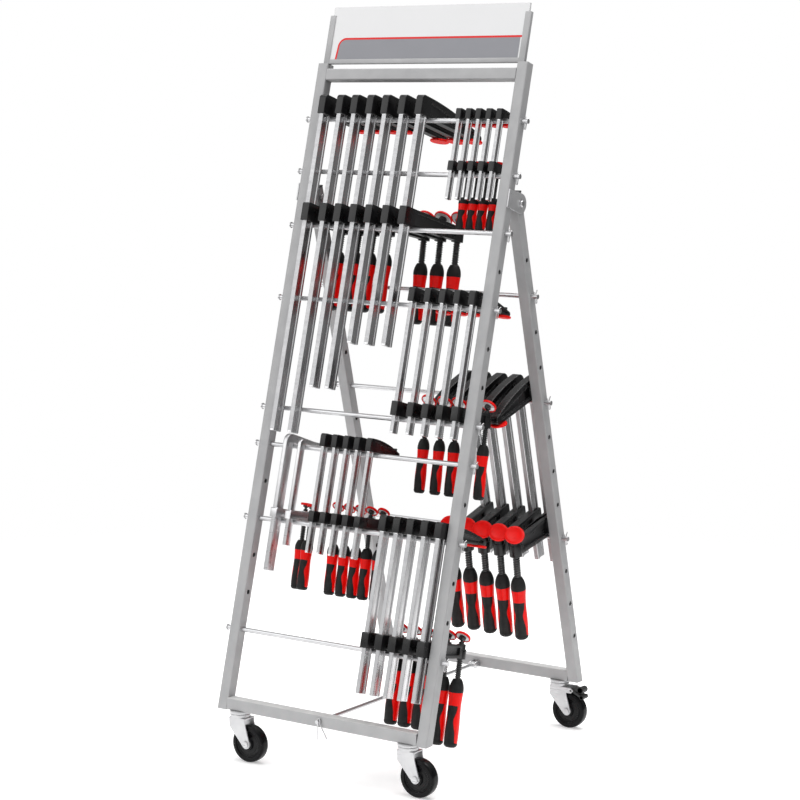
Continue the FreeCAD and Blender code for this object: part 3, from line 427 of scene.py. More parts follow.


# Black paint, plastic and rubber; the second column is the tone of the light edges, and edge and the last
# column say how far it reaches. The light edges are wear, and on the paints of the arms and jaws also a
# painted highlight, mostly so on the arms
blackLooks = table(("level", "worn", "rough", "gloss", "grain", "depth", "edge", "wear"), {
    "jawPaint": (0.005, 0.12, (0.24, 0.36), 0.40, 700.0, 0.00009, 0.0012, 2.0),
    # painted highlight: light rims about 4 mm wide along the rounded edges of the back arms
    "armPaint": (0.003, 0.20, (0.20, 0.32), 0.30, 700.0, 0.00009, 0.004, 3.0),
    "blackenedScrew": (0.010, 0.16, (0.20, 0.32), 0.75, 1200.0, 0.00004, 0.0012, 1.6),
    "blackPlastic": (0.011, 0.045, (0.36, 0.50), 0.5, 1500.0, 0.00004, 0.0012, 1.0),
    "tyreRubber": (0.003, 0.020, (0.16, 0.26), 0.14, 1100.0, 0.00003, 0.0012, 0.8),
    "wheelCore": (0.004, 0.040, (0.18, 0.28), 0.22, 1400.0, 0.00003, 0.0012, 1.0),
})
blackShared = {"chips": 170.0, "light share": 1.6, "dust": grey(0.35), "dust amount": 0.06, "strength": 0.5}


def blackFinish(name):
    look = {**blackShared, **blackLooks[name]}
    material, tree, shader, places = startFinish(name, Metallic=0.0, Specular_IOR_Level=look["gloss"])
    level = look["level"]
    grain, wear = grainWearAndHighlight(tree, places, look)
    dust = useGroup(tree, paintedTopLightAndDust, Vector=places["Object"], Amount=look["dust amount"])
    colour = blendColours(tree, grain["Tone"], grey(level), grey(level * look["light share"], 0.001))
    colour = blendColours(tree, wear, colour, grey(look["worn"], 0.004))
    colour = blendColours(tree, dust["Mask"], colour, look["dust"])
    setSurface(tree, shader, look, colour, grain["Tone"], grain["Height"])
    return material


def padFinish():
    look = {"red": (0.95, 0.006, 0.004, 1.0), "deep": (0.84, 0.005, 0.003, 1.0), "rough": (0.34, 0.48),
            "rubbed": (0.86, 0.05, 0.035, 1.0), "rubbed share": 0.5, "edge": 0.0009, "wear": 1.4,
            "chips": 220.0, "grain": 1300.0, "depth": 0.00005, "strength": 0.5}
    material, tree, shader, places = startFinish("padRed", Metallic=0.0, Specular_IOR_Level=0.18)
    grain, wear = grainWearAndHighlight(tree, places, look)
    colour = blendColours(tree, grain["Tone"], look["red"], look["deep"])
    colour = blendColours(tree, times(tree, wear, look["rubbed share"]), colour, look["rubbed"])
    setSurface(tree, shader, look, colour, grain["Tone"], grain["Height"])
    return material


# A grip's black inset: its half-width along the grip, as shares of a quarter turn, where 1 is all black
insetShares = ((0.0, 1.0), (0.196, 1.0), (0.200, 0.0), (0.385, 0.0), (0.392, 0.66), (0.44, 0.62),
               (0.60, 0.36), (0.84, 0.60), (0.925, 0.66), (0.94, 1.0), (1.0, 1.0))
insetLook = {"widen": 1.02, "draw in": 0.01}


def gripFinish():
    look = {"red": (0.95, 0.005, 0.003, 1.0), "deep": (0.84, 0.004, 0.002, 1.0), "black": grey(0.010),
            "soft": grey(0.018), "seam": grey(0.012), "seam share": 0.45, "seam wide": 0.035, "blur": 0.010,
            "rough": (0.32, 0.52), "grain": 1500.0, "grain height": 0.10, "seam height": 0.8,
            "depth": 0.00030, "strength": 0.7}
    material, tree, shader, places = startFinish("gripShell", Metallic=0.0, Specular_IOR_Level=0.22)
    around = axes(tree, places["UV"])
    turn = maths(tree, "FRACT", maths(tree, "ADD", times(tree, around[0], 2.0), 0.5))
    side = times(tree, maths(tree, "ABSOLUTE", maths(tree, "SUBTRACT", turn, 0.5)), 2.0)
    ramp = put(tree, "ValToRGB")
    feed(tree, ramp.inputs[0], around[1])
    ramp.color_ramp.interpolation = "EASE"
    stops = ramp.color_ramp.elements
    for index, (place, share) in enumerate(insetShares):
        stop = stops[index] if index < 2 else stops.new(place)  # a new ramp has two stops
        stop.position = place
        stop.color = grey(share)
    half = times(tree, axes(tree, ramp.outputs[0])[0], insetLook["widen"])
    gap = maths(tree, "SUBTRACT", maths(tree, "SUBTRACT", half, side), insetLook["draw in"])
    inset = spread(tree, gap, -look["blur"], look["blur"], 0.0, 1.0)
    seam = spread(tree, maths(tree, "ABSOLUTE", gap), 0.0, look["seam wide"], 1.0, 0.0)
    grain = useGroup(tree, fineGrain, Vector=places["Object"], Scale=look["grain"])
    red = blendColours(tree, grain["Tone"], look["red"], look["deep"])
    black = blendColours(tree, grain["Tone"], look["black"], look["soft"])
    colour = blendColours(tree, inset, red, black)
    colour = blendColours(tree, times(tree, seam, look["seam share"]), colour, look["seam"])
    raised = times(tree, grain["Height"], look["grain height"])
    sunk = times(tree, seam, look["seam height"])
    setSurface(tree, shader, look, colour, inset, maths(tree, "SUBTRACT", raised, sunk))
    return material


def signFinish():
    # A band with a line round it, printed on the front of the sheet: across is X, up is along the slope
    look = {"sheet": grey(0.71, 0.006), "sheet dark": grey(0.68), "sheet share": 0.12,
            "band": (0.245, 0.247, 0.268, 1.0), "band dark": (0.215, 0.217, 0.237, 1.0), "band share": 0.25,
            "line": (0.66, 0.004, 0.005, 1.0), "line half": 0.0022, "line past band": 0.0042,
            "left": -0.2185, "right": 0.234, "top": 1.4665, "corner": 0.016, "slant": 0.10, "blur": 0.0002,
            "front": (0.4, 0.6, 0.0, 1.0), "grain": 260.0, "rough": (0.30, 0.38), "depth": 0.00004,
            "strength": 0.4}
    material, tree, shader, places = startFinish("signSheet", Metallic=0.0, Specular_IOR_Level=0.3,
                                                 Coat_Weight=0.08, Coat_Roughness=0.15)
    spot = places["Object"]
    lean = math.radians(frontLean)
    foot = Vector((0.0, frontFoot[1] * mm, frontFoot[2] * mm))
    up = (0.0, math.sin(lean), math.cos(lean))
    across = axes(tree, spot)[0]
    slope = maths(tree, "SUBTRACT", vectorMaths(tree, "DOT_PRODUCT", spot, up), foot.dot(Vector(up)))
    drift = times(tree, maths(tree, "SUBTRACT", slope, look["top"]), look["slant"])

    # how far a point lies outside the band's rounded upper left outline
    x = maths(tree, "SUBTRACT", look["left"] + look["corner"], maths(tree, "SUBTRACT", across, drift))
    y = maths(tree, "ADD", slope, look["corner"] - look["top"])
    corner = joined(tree, maths(tree, "MAXIMUM", x, 0.0), maths(tree, "MAXIMUM", y, 0.0))
    outside = vectorMaths(tree, "LENGTH", corner)
    inside = maths(tree, "MINIMUM", maths(tree, "MAXIMUM", x, y), 0.0)
    edge = maths(tree, "SUBTRACT", maths(tree, "ADD", outside, inside), look["corner"])

    facing = vectorMaths(tree, "DOT_PRODUCT", faceNormal(tree), (0.0, -math.cos(lean), math.sin(lean)))
    printed = spread(tree, facing, *look["front"])
    band = below(tree, edge, 0.0, look["blur"])
    bandEnd = below(tree, across, look["right"], look["blur"])
    line = below(tree, maths(tree, "ABSOLUTE", edge), look["line half"], look["blur"])
    lineEnd = below(tree, across, look["right"] + look["line past band"], look["blur"])
    band = times(tree, band, times(tree, bandEnd, printed))
    line = times(tree, line, times(tree, lineEnd, printed))

    grain = useGroup(tree, fineGrain, Vector=spot, Scale=look["grain"])
    sheetTone = times(tree, grain["Tone"], look["sheet share"])
    bandTone = times(tree, grain["Tone"], look["band share"])
    colour = blendColours(tree, band, blendColours(tree, sheetTone, look["sheet"], look["sheet dark"]),
                          blendColours(tree, bandTone, look["band"], look["band dark"]))
    colour = blendColours(tree, line, colour, look["line"])
    setSurface(tree, shader, look, colour, grain["Tone"], grain["Height"])
    return material


powder = powderFinish()
zinc = metalFinish("brightZinc")
castorZinc = metalFinish("castorZinc")
plateZinc = metalFinish("plateZinc")
barSteel = metalFinish("barSteel")
railSteel = railFinish()
shadedToothSteel = metalFinish("shadedToothSteel")
jawBlack = blackFinish("jawPaint")
armBlackEdgeHighlight = blackFinish("armPaint")
screwBlack = blackFinish("blackenedScrew")
plasticBlack = blackFinish("blackPlastic")
tyreBlack = blackFinish("tyreRubber")
hubBlack = blackFinish("wheelCore")
padRed = padFinish()
gripShell = gripFinish()
signSheet = signFinish()
print("finishes made:", len(bpy.data.materials))


# Nodes that keep their own mesh

def dress(mesh, finish):
    mesh.materials.clear()
    mesh.materials.append(finish)
    mesh.polygons.foreach_set("material_index", [0] * len(mesh.polygons))


plainNodes = {
    powder: ("front_upright_left", "front_upright_right", "front_top_rail", "front_bottom_rail",
             "back_upright_left", "back_upright_right", "back_bottom_rail"),
    zinc: ("front_hanging_rods", "front_rod_clips", "back_hanging_rods", "back_rod_clips", "stay_rod",
           "stay_clip"),
    signSheet: ("sign_panel",),
}
for finish, names in plainNodes.items():
    for name in names:
        dress(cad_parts[name].data, finish)


# Rigid nodes with real rounded edges

roundingLook = {"weld": 0.002, "flat": 0.6, "sharp": 34.0}  # mm, then degrees


def roundedCopy(node, body, finish, slotName, width, steps=2):
    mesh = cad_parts[node].data.copy()
    form = bmesh.new()
    form.from_mesh(mesh)
    bmesh.ops.remove_doubles(form, verts=form.verts, dist=roundingLook["weld"] * mm)
    bmesh.ops.dissolve_limit(form, angle_limit=math.radians(roundingLook["flat"]), verts=form.verts,
                             edges=form.edges)
    form.to_mesh(mesh)
    form.free()
    dress(mesh, finish)
    piece = linked(pieceName(node), mesh)
    sharp = math.radians(roundingLook["sharp"])
    edges = piece.modifiers.new("roundedEdges", "BEVEL")
    edges.width = width * mm
    edges.segments = steps
    edges.limit_method = "ANGLE"
    edges.angle_limit = sharp
    edges.use_clamp_overlap = True
    edges.harden_normals = False
    bpy.context.view_layer.update()
    drawn = piece.evaluated_get(bpy.context.evaluated_depsgraph_get())
    piece.data = bpy.data.meshes.new_from_object(drawn)
    piece.modifiers.clear()
    piece.data.shade_smooth()
    piece.data.set_sharp_from_angle(angle=sharp)
    mount(piece, body, slotName, node)


# Node, body, finish, slot, width of the rounding in mm, and its steps where they aren't 2
roundedNodes = [
    ("front_fixed_jaws", "front_frame", jawBlack, "jaw_paint", 2.6, 4),
    ("front_sliding_jaws", "front_frame", jawBlack, "jaw_paint", 1.2, 3),
    ("back_fixed_jaws", "back_frame", armBlackEdgeHighlight, "jaw_paint", 4.6, 5),
    ("back_sliding_jaws", "back_frame", jawBlack, "jaw_paint", 1.6, 3),
    ("moving_jaw", "clamp_jaw", jawBlack, "jaw_paint", 1.6, 3),
    ("steel_clamp_bars", "front_frame", barSteel, "rail_steel", 1.0),
    ("steel_clamp_jaws", "front_frame", barSteel, "rail_steel", 0.8),
    ("hinge_brackets", "front_frame", castorZinc, "zinc", 0.5),
    ("hinge_bolts", "front_frame", zinc, "zinc", 0.4),
    ("sign_posts", "front_frame", powder, "frame_paint", 0.3),
    ("sign_channel", "front_frame", powder, "frame_paint", 0.3),
    ("front_tube_plugs", "front_frame", plasticBlack, "black_plastic", 0.8),
    ("back_tube_plugs", "back_frame", plasticBlack, "black_plastic", 0.8),
    ("front_castor_stems", "front_frame", castorZinc, "zinc", 0.4),
    ("back_castor_stems", "back_frame", castorZinc, "zinc", 0.4),
    ("stay_lug", "back_frame", zinc, "zinc", 0.5),
]
for corner in wheelCorners:
    roundedNodes.append(("castor_fork_" + corner, "castor_" + corner, castorZinc, "zinc", 0.7))
    roundedNodes.append(("castor_axle_" + corner, "castor_" + corner, castorZinc, "zinc", 0.4))
    if corner.startswith("back"):
        roundedNodes.append(("brake_pedal_" + corner, "pedal_" + corner, plasticBlack, "black_plastic", 0.9))
for row in roundedNodes:
    roundedCopy(*row)
print("rounded pieces made:", len(roundedNodes))


# Clamps: sizes of each kind, as in the frame

kindSizes = ("rail", "head", "arm", "tip", "jaw", "reach", "screw", "boss", "lean", "drop", "grip", "pad")
clampKinds = table(kindSizes, {
    "deep": ((10.5, 28, 535), 41, 224, 15, 39, 198, 7.5, 34, 5, 39, (15.5, 134), 21.3),
    "long": ((10.5, 28, 735), 41, 142, 15, 39, 120, 7, 34, 0, 39, (15, 129), 12),
    "small": ((7, 16, 192), 15.5, 70, 7, 20.5, 55, 3.5, 18, 1, 42, (11.2, 70), 11),
    "medium": ((8, 20, 306), 29, 130, 11, 30, 108, 6, 32, 5, 31, (12.5, 115), 17),
    "light": ((7, 18, 252), 27, 94, 9, 23.5, 76, 5.5, 26, 5, 38, (12.6, 108), 13.8),
    "stout": ((10, 25, 365), 32, 128, 13, 32, 106, 6.5, 30, 4, 11, (15, 141), 16.2),
    "stoutDeep": ((10, 25, 365), 32, 158, 13, 32, 132, 6.5, 30, 4, 36, (15, 141), 16.8),
    "wideSteel": (None, 20.5, 112, 10, 20, 90, 5.5, 24, 3, 38, (13, 106), 12),
    "thinSteel": (None, 12, 84, 8, 18, 66, 5, 22, 3, 38, (13, 106), 11),
    "heavy": ((10.5, 28, 434), 45, 160, 20, 46, 141, 8, 37, 6, 31, (16, 141), 21.5),
})
clampKinds["shorter"] = {**clampKinds["long"], "rail": (10.5, 28, 635)}
clampShared = {"rise": 3, "twist": 0, "flop": 34, "heading": 90, "lip": 0}
clampOwn = {
    "small": {"rise": 1, "flop": 0, "lip": 6.5},
    "wideSteel": {"flop": 0},
    "thinSteel": {"flop": 0},
    "heavy": {"rise": 0, "twist": 24, "flop": 35, "heading": 127, "fixedPad": 18.5},
}
for name, kind in clampKinds.items():
    kind.update({**clampShared, "fixedPad": kind["pad"], **clampOwn.get(name, {})})

# Kind, the rod it hangs on, the rod it rests on, and places across as shares of the inner half
hungClamps = (
    ("long", "front top", "front third", (-0.924, -0.731)),
    ("shorter", "front top", "front third", (-0.571, -0.403)),
    ("deep", "front top", "front third", (-0.239, -0.059, 0.122)),
    ("small", "front top", "front second", (0.508, 0.609, 0.710, 0.815, 0.920)),
    ("medium", "front fourth", "front fifth", (0.319, 0.483, 0.634, 0.782, 0.933)),
    ("wideSteel", "front sixth", "front seventh", (-0.765,)),
    ("thinSteel", "front sixth", "front seventh", (-0.630,)),
    ("light", "front sixth", "front seventh", (-0.378, -0.256, -0.134, -0.017, 0.109)),
    ("stout", "front seventh", "front low", (0.391, 0.534, 0.672)),
    ("stoutDeep", "front seventh", "front low", (0.815, 0.958)),
    ("heavy", "back middle", "back low", (0.273, 0.445, 0.618, 0.786, 0.950)),
)
woundDown = (0.0, 0.0, 2.0, 4.0, 5.6)  # how far the back clamps' screws are wound down
ballStand = 5.0  # from the screw's shoulder to the middle of its ball


def hangPlace(across, rod):
    row = rodRows[rod] + rodSeat
    if rod.startswith("back"):
        return backSlope @ shiftTo(across, tubeHalf + rodSeat, row) @ turnAbout(180, "Z")
    return frontSlope @ shiftTo(across, tubeHalf - rodSeat, row)


def screwLine(kind):
    # the middle of the boss, the way up the screw, and the distance down to the grip
    lean = math.radians(kind["lean"])
    middle = Vector((0, kind["reach"], kind["reach"] * math.tan(lean) / 2 + kind["jaw"] / 2))
    along = Vector((0, -math.sin(lean), math.cos(lean)))
    return middle, along, (middle.z + kind["drop"]) / math.cos(lean)


clamps = []
for kindName, hangRod, restRod, shares in hungClamps:
    kind = clampKinds[kindName]
    middle, along, reachDown = screwLine(kind)
    side = hangRod.split()[0]
    for index, share in enumerate(shares):
        low = hangPlace(share * innerHalf, restRod)
        out = woundDown[index] if side == "back" else 0.0
        moves = side == "back" and index == len(shares) - 1
        halfBoss = kind["boss"] / 2
        ballAbove = halfBoss + kind["screw"] + ballStand
        gripTop = middle - along * (reachDown + out)
        ballMiddle = middle + along * (ballAbove - out)
        clamps.append({
            "kind": kind, "frame": side, "group": "moving" if moves else side,
            "top": hangPlace(share * innerHalf, hangRod),
            "screw": low @ shiftTo(*gripTop) @ turnAbout(kind["lean"], "X"),
            "ball": low @ shiftTo(*ballMiddle),
            "bossFrom": reachDown + out - halfBoss, "bossTo": reachDown + out + halfBoss,
            "ballAt": reachDown + ballAbove,
        })


# Rails: grooved on both wide sides, with fine teeth on both narrow edges

railLook = {"chamfer": 0.9, "groove": 0.15, "land": 0.20, "slope": 0.06, "end bevel": 0.6, "top share": 0.6,
            "tooth pitch": 2.4, "tooth height": 0.26, "tooth root": 0.2, "first tooth": 4.0,
            "last tooth": 0.6, "sharp": 25}


def railSection(thick, deep):
    half = thick / 2
    chamfer = railLook["chamfer"]
    inset = half - thick * railLook["groove"]
    land = deep * railLook["land"]
    slope = deep * railLook["slope"]
    right = [(half - chamfer, -deep), (half, -deep + chamfer), (half, -deep + land),
             (inset, -deep + land + slope), (inset, -land - slope), (half, -land), (half, -chamfer),
             (half - chamfer, 0)]
    return right + [(-x, y) for x, y in reversed(right)]


def addRail(store, place, kind):
    thick, deep, length = kind["rail"]
    top = kind["head"] * railLook["top share"]
    low = kind["head"] - length
    bevel = railLook["end bevel"]
    rows = []
    for z, shrink in ((low, bevel), (low + bevel, 0.0), (top, 0.0)):
        narrow = 1 - shrink * 2 / thick
        shallow = 1 - shrink * 2 / deep
        rows.append([(x * narrow, (y + deep / 2) * shallow - deep / 2, z)
                     for x, y in railSection(thick, deep)])
    addGrid(store, np.array(rows), place, caps="ab", heights=np.array([low, low + bevel, top]) * mm)
    teeth = np.arange(low + railLook["first tooth"], -kind["lip"] - railLook["last tooth"],
                      railLook["tooth pitch"] / 2)
    lift = np.where(np.arange(len(teeth)) % 2 == 0, 0.0, railLook["tooth height"])
    half = thick / 2 - railLook["chamfer"]
    for edge, way in ((-deep, -1.0), (0.0, 1.0)):
        root = np.full(len(teeth), edge - way * railLook["tooth root"])
        crest = edge + way * lift
        ring = ((-half, root), (-half, crest), (half, crest), (half, root))
        rows = np.stack([np.column_stack([np.full(len(teeth), x), y, teeth]) for x, y in ring], axis=1)
        addGrid(store, rows, place, slot=1, caps="ab", heights=teeth * mm)


for side in ("front", "back"):
    store = newStore()
    for clamp in clamps:
        if clamp["kind"]["rail"] and clamp["frame"] == side:
            addRail(store, clamp["top"], clamp["kind"])
    # the teeth take the darker steel, painted shade on the narrow edges that face the key light
    makePiece(side + "ClampRails", store, [railSteel, shadedToothSteel], side + "_frame", "rail_steel",
              side + "_clamp_rails", sharp=railLook["sharp"])
print("rails made")


# Spindles with their threads

screwLook = {"pitch": 0.68, "depth": 0.25, "rows": 6, "around": 18, "flank from": 0.28, "flank": 0.36,
             "clearance": 0.05, "in grip": 0.12, "neck": 0.86, "shoulder": 0.7, "shoulder long": 0.8,
             "ball": 0.85, "ball foot": 0.4, "ball around": 20, "ball from": 32, "ball to": 170,
             "ball rows": 12, "sharp": 28}


def addSpindle(store, clamp):
    kind = clamp["kind"]
    radius = kind["screw"]
    pitch = radius * screwLook["pitch"]
    around = screwLook["around"]
    end = clamp["ballAt"] - radius
    z = np.arange(-screwLook["in grip"] * kind["grip"][1], end - pitch, pitch / screwLook["rows"])
    if clamp["group"] != "moving":  # no thread where the boss hides it
        z = z[(z < clamp["bossFrom"] + pitch) | (z > clamp["bossTo"] - pitch)]
    turn = np.arange(around) / around
    wave = np.abs(2 * ((z[:, None] / pitch - turn[None, :]) % 1.0) - 1)
    crest = np.clip((wave - screwLook["flank from"]) / screwLook["flank"], 0, 1)
    reach = radius * (1 - screwLook["depth"] * (1 - crest)) - screwLook["clearance"]
    angle = turn * 2 * math.pi
    height = np.repeat(z[:, None], around, axis=1)
    rows = np.stack([reach * np.sin(angle), -reach * np.cos(angle), height], axis=-1)
    addGrid(store, rows, clamp["screw"], caps="ab")
    ball = radius * screwLook["ball"]
    top = clamp["ballAt"]
    turns = np.linspace(math.radians(screwLook["ball from"]), math.radians(screwLook["ball to"]),
                        screwLook["ball rows"])
    thin = radius * screwLook["neck"]
    neck = [(thin, z[-1]), (thin, end - screwLook["shoulder long"]), (radius * screwLook["shoulder"], end),
            (ball / 2, end + screwLook["ball foot"])]
    sphere = [(ball * math.sin(a), top - ball * math.cos(a)) for a in turns]
    addLathe(store, neck + sphere, clamp["screw"], screwLook["ball around"], caps="ab")


# Grips: a black ferrule, a red shell with two soft black insets, and a black end

# Places along the grip and radii there, as shares of its length and radius
gripShares = ((0.0, 0.60), (0.06, 0.86), (0.20, 1.0), (0.36, 0.93), (0.56, 0.96), (0.82, 1.0), (0.93, 0.97),
              (0.985, 0.82), (1.0, 0.60))
gripLook = {"around": 48, "arc points": 24, "body rings": (0.0, 0.97, 54), "end rings": (0.97, 1.0, 8),
            "extra rings": (0.186, 0.190, 0.205, 0.209), "collar": 0.198, "collar wide": 0.006,
            "collar groove": 0.35, "inset from": 0.388, "inset to": 0.94, "inset blur": 0.06,
            "inset depth": 0.45, "flat": 0.05, "flat from": 0.22, "flat run": 0.2, "stray turn": 7,
            "mouth gap": 0.4, "mouth deep": 3.0, "top rim": 0.8, "top drop": 0.02,
            "end hollow": ((1.0, 0.0), (0.72, 0.0), (0.60, 1.4), (0.2, 1.6)), "sharp": 50}


def arcThrough(first, second, third, count):
    # points on the circle through three points, in the plane
    ax, ay = first
    bx, by = second
    cx, cy = third
    a, b, c = (x * x + y * y for x, y in (first, second, third))
    d = 2 * (ax * (by - cy) + bx * (cy - ay) + cx * (ay - by))
    ux = (a * (by - cy) + b * (cy - ay) + c * (ay - by)) / d
    uy = (a * (cx - bx) + b * (ax - cx) + c * (bx - ax)) / d
    radius = math.hypot(ax - ux, ay - uy)
    angles = np.unwrap([math.atan2(y - uy, x - ux) for x, y in (first, second, third)])
    turns = np.linspace(angles[0], angles[2], count)
    return np.column_stack([ux + radius * np.cos(turns), uy + radius * np.sin(turns)])


def gripProfile(radius, length):
    spots = [(place * length, share * radius) for place, share in gripShares]
    runs = [arcThrough(*spots[first:first + 3], gripLook["arc points"])
            for first in range(0, len(spots) - 1, 2)]
    curve = np.concatenate([runs[0]] + [run[1:] for run in runs[1:]])
    return curve[np.argsort(curve[:, 0])]


def easeThrough(places, shares):
    # the same eased curve through the pairs of shares as the finish draws
    stops = np.array(shares)
    index = np.clip(np.searchsorted(stops[:, 0], places, side="right") - 1, 0, len(stops) - 2)
    share = np.clip((places - stops[index, 0]) / (stops[index + 1, 0] - stops[index, 0]), 0, 1)
    return stops[index, 1] + (stops[index + 1, 1] - stops[index, 1]) * share * share * (3 - 2 * share)


def addGrip(store, clamp):
    look = gripLook
    radius, length = clamp["kind"]["grip"]
    curve = gripProfile(radius, length)
    stops = [place for place, share in insetShares]
    along = np.unique(np.concatenate([np.linspace(*look["body rings"]), np.linspace(*look["end rings"]),
                                      stops[1:-1], look["extra rings"]]))
    reach = np.interp(along * length, curve[:, 0], curve[:, 1])
    around = look["around"]
    turn = np.arange(around) / around
    side = np.abs(((turn * 2 + 0.5) % 1.0) - 0.5) * 2
    gap = easeThrough(along, insetShares)[:, None] * insetLook["widen"] - side[None, :] - insetLook["draw in"]
    inset = np.clip(gap / look["inset blur"] + 0.5, 0, 1)
    inset = inset * ((along > look["inset from"]) & (along < look["inset to"]))[:, None]
    collar = np.exp(-((along - look["collar"]) / look["collar wide"]) ** 2)[:, None]
    flatAround = (0.5 - 0.5 * np.cos(turn * 4 * math.pi))[None, :]
    flatAlong = np.clip((along - look["flat from"]) / look["flat run"], 0, 1)[:, None]
    squash = 1 - look["flat"] * flatAround * flatAlong
    wide = reach[:, None] * squash - inset * look["inset depth"] - collar * look["collar groove"]
    angle = turn * 2 * math.pi
    z = np.repeat((-along * length)[:, None], around, axis=1)
    rows = np.stack([wide * np.sin(angle), -wide * np.cos(angle), z], axis=-1)
    stray = float(chance.uniform(-look["stray turn"], look["stray turn"]))
    place = clamp["screw"] @ turnAbout(clamp["kind"]["twist"] + stray, "Z")
    addGrid(store, rows, place, heights=along)
    mouth = clamp["kind"]["screw"] - look["mouth gap"]
    top = [(mouth, -look["mouth deep"]), (mouth, 0.0), (reach[0] - look["top rim"], 0.0),
           (reach[0], -look["top drop"])]
    end = [(reach[-1] * share, depth - length) for share, depth in look["end hollow"]]
    addGrid(store, ringRows(top, around), place, heights=np.zeros(len(top)))
    addGrid(store, ringRows(end, around), place, heights=np.ones(len(end)), caps="b")


# Tilting pads, each with its plate and socket, and fixed pads

padLook = {"thick": 5.0, "rim": 2.6, "floor": 2.0, "socket": 1.4, "hold": 0.35, "around": 48,
           "socket around": 32, "clearance": 0.05, "sharp": 35}


def addPad(store, clamp):
    kind = clamp["kind"]
    ball = kind["screw"] * screwLook["ball"]
    heading = math.radians(kind["heading"])
    hinge = Vector((-math.sin(heading), math.cos(heading), 0))
    place = clamp["ball"] @ turnAbout(kind["flop"], hinge)
    wide = kind["pad"]
    low = ball / 2
    high = low + padLook["thick"]
    inner = wide - padLook["rim"]
    floor = high - padLook["floor"]
    cap = [(wide * 0.10, high - 0.35), (wide * 0.62, high - 0.35), (wide * 0.66, high), (wide - 1.5, high),
           (wide - 0.45, high - 0.35), (wide, high - 1.4), (wide, low + 0.5), (wide - 0.4, low), (inner, low),
           (inner, floor), (wide * 0.10, floor)]
    addLathe(store, cap, place, padLook["around"], caps="ab")
    plate = [(ball * 1.2, floor - 0.1), (inner - 0.05, floor - 0.1), (inner - 0.05, low + 1.5),
             (wide * 0.86, low + 1.0), (wide * 0.70, low + 1.4), (ball * 1.5, low + 1.2),
             (ball * 1.2, low + 1.2)]
    addLathe(store, plate, place, padLook["around"], slot=1, loop=True)
    hold = ball * padLook["hold"]
    mouth = ball * math.sqrt(1 - padLook["hold"] ** 2) + padLook["clearance"]
    seat = ball + padLook["clearance"]
    outer = ball * padLook["socket"]
    socket = [(outer, floor - 0.2), (outer, -hold + 0.9), (outer - 0.7, -hold), (mouth, -hold), (seat, 0.0),
              (seat, floor - 0.2)]
    addLathe(store, socket, place, padLook["socket around"], slot=2, loop=True)


def addFixedPad(store, clamp):
    kind = clamp["kind"]
    wide = kind["fixedPad"]
    y = kind["arm"] - wide
    slope = math.atan2(kind["rise"], kind["arm"] - kind["tip"] / 2)
    place = clamp["top"] @ shiftTo(0, y, y * math.tan(slope)) @ turnAbout(math.degrees(slope), "X")
    thick = padLook["thick"]
    cap = [(wide * 0.3, -0.1), (wide - 1.2, -0.1), (wide - 0.3, -0.5), (wide, -1.4), (wide, -3.2),
           (wide - 0.5, -4.3), (wide - 1.8, -thick), (wide * 0.70, -thick), (wide * 0.66, -4.6),
           (wide * 0.2, -4.6)]
    addLathe(store, cap, place, padLook["around"], caps="ab")


# Body of the spindles and grips, body of the pads, and the ending of the nodes' names
clampGroups = {"front": ("front_frame", "front_frame", "s"), "back": ("back_frame", "back_frame", "s"),
               "moving": ("clamp_screw", "clamp_pad", "")}
for group, (body, padBody, many) in clampGroups.items():
    spindles, grips, pads = newStore(), newStore(), newStore()
    for clamp in clamps:
        if clamp["group"] == group:
            addSpindle(spindles, clamp)
            addGrip(grips, clamp)
            addPad(pads, clamp)
    makePiece(group + "Spindles", spindles, [screwBlack], body, "spindle_steel", group + "_spindle" + many,
              sharp=screwLook["sharp"])
    makePiece(group + "Grips", grips, [gripShell], body, "grip_plastic", group + "_grip" + many,
              sharp=gripLook["sharp"])
    makePiece(group + "Pads", pads, [padRed, plateZinc, screwBlack], padBody, "pad_plastic",
              group + "_pad" + many, sharp=padLook["sharp"])

for side in ("front", "back"):
    store = newStore()
    for clamp in clamps:
        if clamp["kind"]["rail"] and clamp["frame"] == side:
            addFixedPad(store, clamp)
    makePiece(side + "FixedPads", store, [padRed], side + "_frame", "pad_plastic", side + "_fixed_pads",
              sharp=padLook["sharp"])
print("clamps dressed:", len(clamps))


# Wheels, each half an outline of (radius, distance from the wheel's middle)

wheelLook = {"trail": 27.0, "radius": 40.0, "x": 212.0, "y": 314.0, "sharp": 30}
tyreHalf = [(28.6, 8.6), (29.2, 10.6), (30.6, 11.7), (33.2, 12.0), (34.0, 11.7), (34.8, 11.9), (36.6, 11.6),
            (38.4, 10.4), (39.5, 8.6), (39.95, 5.0), (40.0, 1.6)]
coreHalf = [(29.0, 8.2), (28.2, 9.4), (27.2, 9.4), (26.4, 8.4), (25.4, 7.2), (23.6, 7.0), (22.8, 7.5),
            (21.8, 7.5), (21.0, 7.0), (15.6, 7.0), (14.2, 7.8), (13.4, 9.4), (13.0, 12.9), (12.3, 13.5),
            (9.8, 13.5), (9.2, 12.9)]
bearingHalf = [(9.1, 12.8), (8.6, 13.2), (7.2, 13.2), (6.6, 12.8), (4.1, 12.8)]
wheelRings = ((tyreHalf, 96), (coreHalf, 96), (bearingHalf, 48))  # half an outline, and points around it


def castorAt(corner):
    x = wheelLook["x"] * (1 if corner.endswith("right") else -1)
    y = wheelLook["y"] * (1 if corner.startswith("back") else -1)
    return x, y


for corner in wheelCorners:
    x, y = castorAt(corner)
    place = shiftTo(x + wheelLook["trail"], y, wheelLook["radius"]) @ turnAbout(-90, "X")
    store = newStore()
    for slot, (half, around) in enumerate(wheelRings):
        outline = half + [(radius, -depth) for radius, depth in reversed(half)]
        addLathe(store, outline, place, around, slot, loop=True)
    makePiece(pieceName("wheel_" + corner), store, [tyreBlack, hubBlack, castorZinc], "wheel_" + corner,
              "wheel_rubber", "castor_wheel_" + corner, sharp=wheelLook["sharp"])
print("wheels made")


# Ribs round the two rolls of each brake pedal

